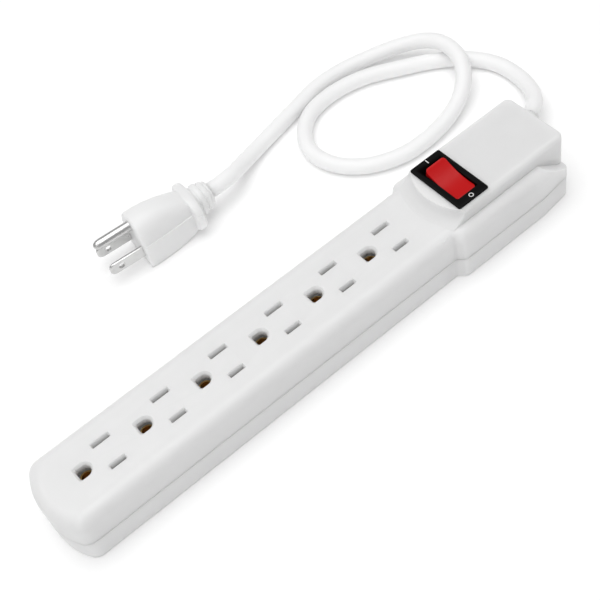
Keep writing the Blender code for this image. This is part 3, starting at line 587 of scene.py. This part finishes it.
def screw_tree():
    tree = Tree("self_tapping_screw", [
        ("Head Radius", "NodeSocketFloat", 0.0029), ("Head Height", "NodeSocketFloat", 0.0016),
        ("Shank Radius", "NodeSocketFloat", 0.00135), ("Shank Length", "NodeSocketFloat", 0.0155),
        ("Recess Length", "NodeSocketFloat", 0.0032), ("Recess Width", "NodeSocketFloat", 0.0006),
        ("Thread Turns", "NodeSocketFloat", 9.0),
    ])
    val = tree.value
    head = tree.add("GeometryNodeMeshCylinder", {"Vertices": 40, "Radius": val("Head Radius"),
                                                 "Depth": val("Head Height")}).outputs["Mesh"]
    dome_top = tree.math("MULTIPLY", val("Head Radius"), 0.62)
    dome = tree.add("GeometryNodeMeshCone", {"Vertices": 40, "Radius Top": dome_top,
                                             "Radius Bottom": val("Head Radius"),
                                             "Depth": 0.0006}).outputs["Mesh"]
    dome = tree.add("GeometryNodeTransform", {"Geometry": dome, "Rotation": (math.pi, 0, 0),
                                              "Translation": (0, 0, 0)}).outputs[0]
    low = tree.math("MULTIPLY", val("Head Height"), -0.5)
    dome = tree.moved(dome, tree.vector(z=low))
    shank = tree.add("GeometryNodeMeshCylinder", {"Vertices": 24, "Radius": val("Shank Radius"),
                                                  "Depth": val("Shank Length")}).outputs["Mesh"]
    shank = tree.moved(shank, tree.vector(z=tree.math("MULTIPLY", val("Shank Length"), 0.5)))
    solid = tree.boolean("UNION", head, dome, shank)
    size_a = tree.vector(val("Recess Length"), val("Recess Width"), 0.0019)
    size_b = tree.vector(val("Recess Width"), val("Recess Length"), 0.0019)
    down = tree.vector(z=tree.math("SUBTRACT", low, 0.0007))
    for size in (size_a, size_b):
        recess = tree.add("GeometryNodeMeshCube", {"Size": size}).outputs["Mesh"]
        solid = tree.boolean("DIFFERENCE", solid, tree.moved(recess, down))
    coil = tree.add("GeometryNodeCurveSpiral", {
        "Resolution": 16, "Rotations": val("Thread Turns"), "Start Radius": val("Shank Radius"),
        "End Radius": val("Shank Radius"),
        "Height": tree.math("MULTIPLY", val("Shank Length"), 0.8)}).outputs[0]
    ridge = tree.add("GeometryNodeCurvePrimitiveCircle", {"Resolution": 6, "Radius": 0.00016}).outputs[0]
    thread = tree.add("GeometryNodeCurveToMesh", {"Curve": coil, "Profile Curve": ridge,
                                                  "Fill Caps": True}).outputs[0]
    thread = tree.moved(thread, (0, 0, 0.002))
    screw = tree.joined(solid, thread)
    spots = tree.add("GeometryNodeInstanceOnPoints", {"Points": tree.inp.outputs["Geometry"],
                                                      "Instance": screw}).outputs[0]
    tree.finish(spots, zinc)
    return tree


def make_screws():
    nodes = sorted(n for n in frame["nodes"] if n.startswith("cover_screw_"))
    tree = screw_tree()
    points = []
    for node in nodes:
        low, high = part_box(node)
        points.append(((low[0] + high[0]) / 2, (low[1] + high[1]) / 2, low[2] + 0.0014))
    mesh = baked("cover_screws", points, tree, {"Head Radius": 0.0029})
    smooth_by_angle(mesh, 35)
    mesh_piece("cover_screws", mesh, zinc, "housing", "zinc_steel", *nodes)


def spring_tree():
    tree = Tree("coil_spring", [
        ("Coil Radius", "NodeSocketFloat", 0.00115), ("Wire Radius", "NodeSocketFloat", 0.00017),
        ("Free Length", "NodeSocketFloat", 0.00305), ("Turns", "NodeSocketFloat", 4.0),
        ("Tilt", "NodeSocketFloat", 0.0),
    ])
    val = tree.value
    coil = tree.add("GeometryNodeCurveSpiral", {
        "Resolution": 24, "Rotations": val("Turns"), "Start Radius": val("Coil Radius"),
        "End Radius": val("Coil Radius"), "Height": val("Free Length")}).outputs[0]
    wire = tree.add("GeometryNodeCurvePrimitiveCircle", {
        "Resolution": 10, "Radius": val("Wire Radius")}).outputs[0]
    spring = tree.add("GeometryNodeCurveToMesh", {"Curve": coil, "Profile Curve": wire,
                                                  "Fill Caps": True}).outputs[0]
    spring = tree.moved(spring, (0, 0, -0.00115))
    turned = tree.add("GeometryNodeTransform", {"Geometry": spring, "Rotation": tree.vector(x=val("Tilt"))})
    spots = tree.add("GeometryNodeInstanceOnPoints", {"Points": tree.inp.outputs["Geometry"],
                                                      "Instance": turned.outputs[0]}).outputs[0]
    tree.finish(spots, zinc)
    return tree


def make_spring():
    mesh = baked("coil_spring", [(SW_X, 0.0, 0.030)], spring_tree(), {"Tilt": math.radians(10.5)})
    smooth_by_angle(mesh, 60)
    mesh_piece("coil_spring", mesh, zinc, "rocker", "zinc_steel", "plunger_spring")


# ---------------------------------------------------------------- top cover

def round_corners(outline, radii, steps=10):
    """Replace each corner that has a radius by an arc."""
    result = []
    count = len(outline)
    for i, corner in enumerate(outline):
        radius = radii.get(i, 0.0)
        here = np.array(corner, float)
        back = np.array(outline[i - 1], float) - here
        ahead = np.array(outline[(i + 1) % count], float) - here
        if radius == 0.0:
            result.append(tuple(here))
            continue
        back /= np.linalg.norm(back)
        ahead /= np.linalg.norm(ahead)
        half = math.acos(float(np.clip(back @ ahead, -1, 1))) / 2
        middle = (back + ahead) / np.linalg.norm(back + ahead)
        centre = here + middle * radius / math.sin(half)
        start = here + back * radius / math.tan(half) - centre
        end = here + ahead * radius / math.tan(half) - centre
        a0 = math.atan2(start[1], start[0])
        turn = (math.atan2(end[1], end[0]) - a0 + math.pi) % (2 * math.pi) - math.pi
        for k in range(steps + 1):
            angle = a0 + turn * k / steps
            result.append((centre[0] + radius * math.cos(angle), centre[1] + radius * math.sin(angle)))
    return result


def housing_outline(inset=0.0):
    """Plan of the housing: bowed near end, straight sides, wider head."""
    near = -LENGTH / 2 + inset
    far = LENGTH / 2 - inset
    half = HALF_WIDTH - inset
    head = HEAD_HALF - inset
    end = HEAD_END_HALF - inset
    corner = near + NEAR_BOW
    bow = [(near + NEAR_BOW * (y / half) ** 2, y) for y in np.linspace(half * 0.66, -half * 0.66, 15)]
    shift = 0.41 * inset
    right = [(corner, -half), (STEP_X[0] + shift, -half), (STEP_X[1] + shift, -head),
             (NECK_X, -head), (far, -end)]
    left = [(x, -y) for x, y in reversed(right)]
    points = [tuple(p) for p in bow] + right + left
    corner_r = max(NEAR_CORNER_R - inset, 1.5)
    end_r = max(5.0 - inset, 1.5)
    radii = {15: corner_r, 16: 2.5, 17: 3.5, 19: end_r, 20: end_r, 22: 3.5, 23: 2.5, 24: corner_r}
    return round_corners(points, radii)


def inner_outline(inset, end_x):
    """Plan of the housing set in by a wall, squared off inside the head."""
    kept = [p for p in housing_outline(inset) if p[0] < end_x]
    turn = (len(kept) + 15) // 2
    head = HEAD_HALF - inset
    return kept[:turn] + [(end_x, -head), (end_x, head)] + kept[turn:]


def prism(name, outline, z0, z1):
    return loft(name, [[v((x, y, z)) for x, y in outline] for z in (z0, z1)])


def block(name, low, high):
    outline = [(low[0], low[1]), (high[0], low[1]), (high[0], high[1]), (low[0], high[1])]
    return prism(name, outline, low[2], high[2])


def rod(name, centre, radius, depth, axis="Z", segments=40):
    bm = bmesh.new()
    turn = Matrix.Rotation(math.pi / 2, 4, "Y") if axis == "X" else Matrix.Identity(4)
    bmesh.ops.create_cone(bm, cap_ends=True, segments=segments, radius1=radius * MM, radius2=radius * MM,
                          depth=depth * MM, matrix=Matrix.Translation(v(centre)) @ turn)
    mesh = bpy.data.meshes.new(name)
    bm.to_mesh(mesh)
    bm.free()
    return mesh


def loose_object(mesh):
    obj = bpy.data.objects.new(mesh.name, mesh)
    bpy.context.scene.collection.objects.link(obj)
    return obj


def carved(mesh, steps):
    """Plain mesh after a list of Boolean steps, each an operation and another mesh."""
    obj = loose_object(mesh)
    others = []
    for operation, other in steps:
        tool = loose_object(other)
        others.append(tool)
        mod = obj.modifiers.new(other.name, "BOOLEAN")
        mod.operation = operation
        mod.solver = "EXACT"
        mod.object = tool
    graph = bpy.context.evaluated_depsgraph_get()
    result = bpy.data.meshes.new_from_object(obj.evaluated_get(graph))
    for used in [obj] + others:
        bpy.data.objects.remove(used, do_unlink=True)
    return result


def rounded_layers(outline, low_z, top_z, radius, steps):
    """Outline at several insets, so that the top edge is a quarter round."""
    layers = [[v((x, y, low_z)) for x, y in outline(0.0)]]
    for k in range(steps + 1):
        angle = math.pi / 2 * k / steps
        inset = radius * (1 - math.cos(angle))
        z = top_z - radius * (1 - math.sin(angle))
        layers.append([v((x, y, z)) for x, y in outline(inset)])
    return layers


def platform_outline(inset):
    half = PLATFORM_HALF - inset
    far = LENGTH / 2 - inset
    outline = [(58.0, half), (58.0, -half), (far, -half), (far, half)]
    corner = max(3.5 - inset, 1.2)
    return round_corners(outline, {2: corner, 3: corner}, 8)


def ramp_mesh():
    """Drum with a hollow-curved side, joined to a block that reaches past the far end."""
    ramp = [(RAMP_R - RAMP_REACH * (1 - (1 - t) ** 2.2), FACE_Z + (PLATFORM_Z - FACE_Z) * t)
            for t in np.linspace(0, 1, 13)]
    profile = [(RAMP_R, 17.0)] + ramp + [(ramp[-1][0] - 0.2, 40.0)]
    angles = [2 * math.pi * k / 96 for k in range(96)]
    drum = loft("ramp_drum", [[v((RAMP_X + r * math.cos(a), r * math.sin(a), z)) for a in angles]
                              for r, z in profile])
    return carved(drum, [("UNION", block("ramp_block", (RAMP_X - 1.0, -30.0, 16.0), (140.0, 30.0, 41.0)))])


def ground_outline(grow=0.0):
    """U-ground hole: flat toward the near end, round toward the blade slots."""
    half = GROUND_W / 2 + grow
    back = -GROUND_L / 2 - grow
    arc_x = GROUND_L / 2 - GROUND_W / 2
    arc = [(arc_x + half * math.cos(a), half * math.sin(a))
           for a in np.linspace(-math.pi / 2, math.pi / 2, 25)]
    return [(back, half - 0.6), (back, -half + 0.6), (back + 0.6, -half)] + arc + [(back + 0.6, half)]


def slot_outline(length, y, grow=0.0):
    half_x = length / 2 + grow
    half_y = SLOT_T / 2 + grow
    corners = [(-half_x, y - half_y), (half_x, y - half_y), (half_x, y + half_y), (-half_x, y + half_y)]
    return round_corners(corners, {k: max(0.3 + grow, 0.1) for k in range(4)}, 3)


def outlet_cutter():
    """What one outlet's two slots and ground hole take out of the face, with softened lips."""
    low = FACE_Z - 6.0
    bm = bmesh.new()
    for y, length in SLOT_LENGTHS:
        levels = ((low, -SLOT_LEAD), (FACE_Z - SLOT_LEAD_DEPTH, -SLOT_LEAD), (FACE_Z - SLOT_LIP, 0.0),
                  (FACE_Z, SLOT_LIP), (FACE_Z + 1.0, SLOT_LIP))
        solid = loft("slot", [[v((x, sy, z)) for x, sy in slot_outline(length, y, grow)]
                              for z, grow in levels])
        bm.from_mesh(solid)
    grow, depth = GROUND_CHAMFER
    levels = ((low, 0.0), (FACE_Z - depth, 0.0), (FACE_Z, grow), (FACE_Z + 1.0, grow))
    hole = loft("hole", [[v((x - GROUND_BACK, y, z)) for x, y in ground_outline(g)] for z, g in levels])
    bm.from_mesh(hole)
    mesh = bpy.data.meshes.new("outlet_cutter")
    bm.to_mesh(mesh)
    bm.free()
    return mesh


def outlet_tree(cutter):
    """Cuts a row of outlets, a pitch apart, out of the geometry that it is given."""
    tree = Tree("outlet_openings", [
        ("Count", "NodeSocketInt", OUTLETS), ("First X", "NodeSocketFloat", FIRST_X * MM),
        ("Pitch", "NodeSocketFloat", PITCH * MM),
    ])
    row = tree.add("GeometryNodeMeshLine", {
        "Count": tree.value("Count"), "Start Location": tree.vector(x=tree.value("First X")),
        "Offset": tree.vector(x=tree.value("Pitch"))}, mode="OFFSET").outputs[0]
    tool = tree.add("GeometryNodeObjectInfo", {"Object": cutter},
                    transform_space="ORIGINAL").outputs["Geometry"]
    spots = tree.add("GeometryNodeInstanceOnPoints", {"Points": row, "Instance": tool}).outputs[0]
    solid = tree.add("GeometryNodeRealizeInstances", {0: spots}).outputs[0]
    cover = tree.boolean("DIFFERENCE", tree.inp.outputs["Geometry"], solid)
    tree.finish(cover, white_shell)
    return tree


def cord_exit_steps():
    """Hole for the grip and, behind the wall, the pocket that holds its flange."""
    x, y, z = CORD_EXIT
    return [("DIFFERENCE", rod("cord_hole", (x - 11.0, y, z), CORD_HOLE_R, 34.0, axis="X")),
            ("DIFFERENCE", rod("grip_pocket", (x - 6.4, y, z), 5.5, 3.2, axis="X"))]


def base_solid():
    """Tray under the seam: rounded foot edge, tongue, hollow, bosses, bar ribs and screw wells."""
    layers = []
    for k in range(5):
        angle = math.pi / 2 * k / 4
        inset = FOOT_EDGE_R * (1 - math.sin(angle))
        z = FOOT_EDGE_R * (1 - math.cos(angle))
        layers.append([v((x, y, z)) for x, y in housing_outline(inset)])
    layers.append([v((x, y, SEAM_Z[0])) for x, y in housing_outline()])
    tongue = inner_outline(TOP_WALL + 0.3, HOLLOW_END_X - 0.3)
    steps = [("UNION", prism("tongue", tongue, 6.0, 14.4)),
             ("DIFFERENCE", prism("tray_hollow", housing_outline(TRAY_WALL), FLOOR, 20.0))]
    for x, y in BOSSES:
        steps.append(("UNION", rod("tray_boss", (x, y, 4.1), 4.2, 7.0, segments=24)))
    for i in range(OUTLETS):
        x = FIRST_X + PITCH * i + 8.5
        for y, top in ((0.0, GROUND_BAR_Z), (-SLOT_Y, BAR_Z), (SLOT_Y, BAR_Z)):
            steps.append(("UNION", block("bar_rib", (x - 1.2, y - 2.0, 2.0), (x + 1.2, y + 2.0, top - 0.3))))
    for x, y in BOSSES:
        steps.append(("DIFFERENCE", rod("screw_well", (x, y, 1.25), SCREW_HEAD_R + 0.4, 4.5)))
        steps.append(("DIFFERENCE", rod("screw_hole", (x, y, 6.0), 1.75, 9.0, segments=20)))
        if y != 0:
            steps.append(("DIFFERENCE", rod("boss_relief", (x, y, 13.0), 3.35, 10.2, segments=24)))
    return carved(loft("tray_shell", layers), steps + cord_exit_steps())


def make_base():
    mesh = base_solid()
    mesh.name = "bottom_cover_finished"
    smooth_by_angle(mesh, 34)
    piece = mesh_piece("bottom_cover_finished", mesh, white_cover, "housing", "white_plastic", "bottom_cover")
    weigh_normals(piece)


def cover_solid():
    shell = loft("top_shell", rounded_layers(housing_outline, SEAM_Z[1], FACE_Z, EDGE_R, 10))
    slope = [(SHOULDER_X, SHOULDER_Z), (SHOULDER_X, 40.0), (140.0, 40.0),
             (140.0, SHOULDER_Z - SHOULDER_SLOPE * (140.0 - SHOULDER_X))]
    shoulder = loft("shoulder_cut", [[v((x, y, z)) for x, z in slope] for y in (-30.0, 30.0)])
    platform = loft("platform", rounded_layers(platform_outline, 18.0, PLATFORM_Z, PLATFORM_EDGE_R, 7))
    platform = carved(platform, [("INTERSECT", ramp_mesh())])
    centre = SW_X / MM
    steps = [("DIFFERENCE", shoulder), ("UNION", platform),
             ("DIFFERENCE", prism("hollow", inner_outline(TOP_WALL, HOLLOW_END_X), 5.0, FACE_Z - FACE_WALL)),
             ("DIFFERENCE", block("platform_hollow", (72.0, -14.4, 5.0),
                                  (127.6, 14.4, PLATFORM_Z - TOP_WALL)))]
    for bx, by in BOSSES:
        top = (PLATFORM_Z if bx > 100 else FACE_Z) - 1.0
        steps.append(("UNION", rod("boss", (bx, by, (top + 7.9) / 2), 3.0, top - 7.9, segments=24)))
    steps.append(("DIFFERENCE", block("switch_hole", (centre - SWITCH_HOLE[0], -SWITCH_HOLE[1], 30.0),
                                      (centre + SWITCH_HOLE[0], SWITCH_HOLE[1], 36.0))))
    for bx, by in BOSSES:
        steps.append(("DIFFERENCE", rod("boss_bore", (bx, by, 14.0), 1.75, 15.0, segments=16)))
    return carved(shell, steps + cord_exit_steps())


def weigh_normals(obj):
    normals = obj.modifiers.new("even_shading", "WEIGHTED_NORMAL")
    normals.keep_sharp = True
    normals.weight = 80


def make_top_cover():
    cutter = loose_object(outlet_cutter())
    tree = outlet_tree(cutter)
    cover = loose_object(cover_solid())
    mod = cover.modifiers.new("openings", "NODES")
    mod.node_group = tree.group
    mod[tree.ids["Count"]] = OUTLETS
    mod[tree.ids["Pitch"]] = PITCH * MM
    graph = bpy.context.evaluated_depsgraph_get()
    mesh = bpy.data.meshes.new_from_object(cover.evaluated_get(graph))
    mesh.name = "top_cover_finished"
    for used in (cover, cutter):
        bpy.data.objects.remove(used, do_unlink=True)
    smooth_by_angle(mesh, 34)
    weigh_normals(mesh_piece("top_cover_finished", mesh, white_shell, "housing", "white_plastic",
                             "top_cover"))


# ---------------------------------------------------------------- plug

# Back from the blade face, half width, underside, top of the side wall and crown, in millimetres
PLUG_STATIONS = [
    (0.0, 9.9, 0.45, 13.6, 23.9), (0.15, 10.2, 0.2, 13.8, 24.4), (0.5, 10.45, 0.1, 14.0, 24.9),
    (1.4, 10.6, 0.1, 14.1, 25.3), (6.0, 10.5, 0.1, 14.1, 25.6), (11.0, 10.1, 0.3, 14.0, 25.2),
    (16.0, 9.6, 0.6, 13.9, 24.3), (20.0, 9.1, 1.0, 13.7, 23.1), (23.5, 8.6, 1.5, 13.6, 21.8),
    (25.6, 8.3, 2.0, 13.5, 21.0), (26.5, 8.3, 2.6, 13.5, 20.6), (26.8, 9.6, 4.2, 13.6, 20.5),
    (27.1, 11.3, 5.4, 13.8, 20.5), (27.5, 11.9, 5.8, 13.9, 20.4), (29.2, 12.1, 6.1, 14.0, 20.2),
    (30.6, 11.9, 6.4, 14.0, 19.9), (31.1, 11.2, 6.7, 13.9, 19.5), (31.4, 8.6, 7.2, 13.6, 18.9),
    (31.7, 6.7, 7.4, 13.2, 18.4), (32.4, 6.1, 7.4, 13.0, 18.2), (33.0, 6.2, 7.2, 12.9, 18.4),
    (33.3, 6.9, 6.6, 12.8, 18.9), (34.6, 6.9, 6.5, 12.8, 19.0), (35.4, 6.6, 6.8, 12.8, 18.8),
    (35.7, 5.9, 7.3, 12.8, 18.3), (36.1, 5.8, 7.4, 12.8, 18.2), (36.4, 6.3, 6.9, 12.8, 18.6),
    (37.6, 6.2, 7.0, 12.8, 18.5), (38.2, 5.8, 7.3, 12.8, 18.2), (38.5, 5.2, 7.8, 12.8, 17.7),
    (38.9, 5.2, 7.8, 12.8, 17.7), (39.3, 5.4, 7.6, 12.8, 17.9), (40.0, 4.9, 8.0, 12.8, 17.4),
]
PLUG_LEDGE = 0.55


def plug_section(half, low, wall, top, steps=28):
    """Plug outline: flat foot, upright sides, a small ledge on each side, then a domed top."""
    ledge = PLUG_LEDGE if half > 7.5 else 0.12
    dome = half - ledge
    arc = []
    for k in range(steps + 1):
        a = math.pi * k / steps
        bulge = abs(math.cos(a)) ** 0.75 * (1 if a < math.pi / 2 else -1)
        arc.append((dome * (0.45 * bulge + 0.55 * math.cos(a)),
                    wall + 0.3 + (top - wall - 0.3) * math.sin(a) ** 0.9))
    foot = 0.7 if half > 7.5 else min(2.2, half * 0.4)
    turns = [math.pi / 2 * k / 4 for k in range(5)]
    left = [(-half + foot - foot * math.cos(t), low + foot - foot * math.sin(t)) for t in turns]
    right = [(-s, h) for s, h in reversed(left)]
    return [(-half, wall)] + left + right + [(half, wall)] + arc


def loft(name, layers):
    bm = bmesh.new()
    rings = [[bm.verts.new(p) for p in layer] for layer in layers]
    count = len(rings[0])
    for low, high in zip(rings, rings[1:]):
        for i in range(count):
            j = (i + 1) % count
            bm.faces.new((low[i], low[j], high[j], high[i]))
    bm.faces.new(list(reversed(rings[0])))
    bm.faces.new(rings[-1])
    bmesh.ops.remove_doubles(bm, verts=bm.verts, dist=2e-6)
    bmesh.ops.recalc_face_normals(bm, faces=bm.faces)
    mesh = bpy.data.meshes.new(name)
    bm.to_mesh(mesh)
    bm.free()
    return mesh


def make_plug():
    layers = [[plug_point(back, s, h) for s, h in plug_section(half, low, wall, top)]
              for back, half, low, wall, top in PLUG_STATIONS]
    mesh = loft("plug_moulding", layers)
    smooth_by_angle(mesh, 50)
    return mesh_piece("plug_moulding", mesh, plug_vinyl, "housing", "white_pvc", "plug_body")


# ---------------------------------------------------------------- rocker

ROCKER_PIVOT_Z = 30.0
ROCKER_TILT = math.radians(10.5)
ROCKER_HALF = (5.3, 9.9)
ROCKER_CORNER_R = 1.7


def dish_profile(drop, reach, steps=25):
    """Hollow curve of the rocker's top from end to end, lowered by a wall."""
    return [(y, 4.4 + 1.8 * (y / ROCKER_HALF[1]) ** 2 - drop) for y in np.linspace(reach, -reach, steps)]


def across(name, profile, half_width):
    """Solid with one side profile in Y and Z, carried across the rocker's width."""
    return loft(name, [[v((x, y, z)) for y, z in profile] for x in (-half_width, half_width)])


def soften(mesh, radius, degrees, segments):
    bm = bmesh.new()
    bm.from_mesh(mesh)
    edges = [e for e in bm.edges if e.calc_face_angle(0.0) > math.radians(degrees)]
    bmesh.ops.bevel(bm, geom=edges, offset=radius * MM, segments=segments, profile=0.5, affect="EDGES",
                    clamp_overlap=True)
    bm.to_mesh(mesh)
    bm.free()


def make_rocker():
    half_x, half_y = ROCKER_HALF
    corners = [(-half_x, -half_y), (half_x, -half_y), (half_x, half_y), (-half_x, half_y)]
    plan = round_corners(corners, {k: ROCKER_CORNER_R for k in range(4)}, 8)
    dish = dish_profile(0.0, half_y + 1.0) + [(-half_y - 1.0, 9.0), (half_y + 1.0, 9.0)]
    cap = carved(prism("rocker_cap", plan, -1.5, 6.0), [("DIFFERENCE", across("dish", dish, 8.0))])
    soften(cap, 0.35, 40, 3)
    inner = dish_profile(1.3, half_y - 1.3) + [(-half_y + 1.3, -5.4), (half_y - 1.3, -5.4)]
    mesh = carved(cap, [("DIFFERENCE", across("rocker_hollow", inner, half_x - 1.1)),
                        ("UNION", rod("rocker_stem", (0.0, 0.0, -0.7), 2.6, 8.6)),
                        ("UNION", rod("pin_a", (-5.7, 0.0, 0.0), 1.2, 1.4, axis="X", segments=24)),
                        ("UNION", rod("pin_b", (5.7, 0.0, 0.0), 1.2, 1.4, axis="X", segments=24)),
                        ("DIFFERENCE", rod("rocker_bore", (0.0, 0.0, -1.7), 1.75, 8.6, segments=24))])
    place = Matrix.Translation((SW_X, 0.0, ROCKER_PIVOT_Z * MM))
    mesh.transform(place @ Matrix.Rotation(ROCKER_TILT, 4, "X"))
    smooth_by_angle(mesh, 40)
    piece = mesh_piece("rocker_button", mesh, red_lens, "rocker", "red_plastic", "switch_rocker")
    weigh_normals(piece)


# ---------------------------------------------------------------- switch marks

def mark_bar(bm, centre, half_x, half_y, z0, z1):
    """Short straight bar standing from one height to another."""
    matrix = Matrix.Translation((centre[0], centre[1], (z0 + z1) / 2))
    matrix = matrix @ Matrix.Diagonal((2 * half_x, 2 * half_y, z1 - z0, 1.0))
    bmesh.ops.create_cube(bm, size=1.0, matrix=matrix)


def make_marks():
    """Line mark at the raised end of the rocker and ring mark at the other, inked on the frame."""
    low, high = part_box("switch_housing")
    z0, z1 = high[2] - 0.00005, high[2] + 0.00006
    bm = bmesh.new()
    mark_bar(bm, (SW_X, high[1] - 0.00185), 0.00022, 0.0011, z0, z1)
    centre = Vector((SW_X, low[1] + 0.00185, 0.0))
    steps = 32
    rings = []
    for radius, z in ((0.0011, z0), (0.0011, z1), (0.00075, z1), (0.00075, z0)):
        rings.append([bm.verts.new(centre + Vector((radius * math.cos(2 * math.pi * k / steps),
                                                    radius * math.sin(2 * math.pi * k / steps), z)))
                      for k in range(steps)])
    for a, b in zip(rings, rings[1:] + rings[:1]):
        for k in range(steps):
            j = (k + 1) % steps
            bm.faces.new((a[k], a[j], b[j], b[k]))
    bmesh.ops.recalc_face_normals(bm, faces=bm.faces)
    mesh = bpy.data.meshes.new("switch_marks")
    bm.to_mesh(mesh)
    bm.free()
    mesh_piece("switch_marks", mesh, mark_ink, "housing", "white_plastic")


# ---------------------------------------------------------------- assembly

make_camera()
make_stage()

plug = make_plug()
blades = [dressed_copy("plug_blade_hot", nickel, "housing", "nickel", 0.12),
          dressed_copy("plug_blade_neutral", nickel, "housing", "nickel", 0.12),
          dressed_copy("plug_ground_pin", nickel, "housing", "nickel", 0.12)]
grip = dressed_copy("cord_grip", soft_white, "housing", "white_pvc", 0.15, sharp=40.0)
make_cord()

make_top_cover()
make_base()
dressed_copy("switch_housing", black_frame, "housing", "black_plastic", 0.0, sharp=20.0)
make_rocker()
make_marks()
make_screws()
make_spring()

repaint(brass, "hot_bus_bar", "neutral_bus_bar", "ground_bus_bar", "contact_lever", "line_terminal",
        "load_terminal", "lamp_terminal")
repaint(black_frame, "switch_plunger")
repaint(lamp_glass, "pilot_lamp")
repaint(resistor, "lamp_resistor")
repaint(soft_white, "cord_stub")
repaint(black_wire, "line_wire", "load_wire")
repaint(white_wire, "neutral_wire", "lamp_wire")
repaint(green_wire, "ground_wire")
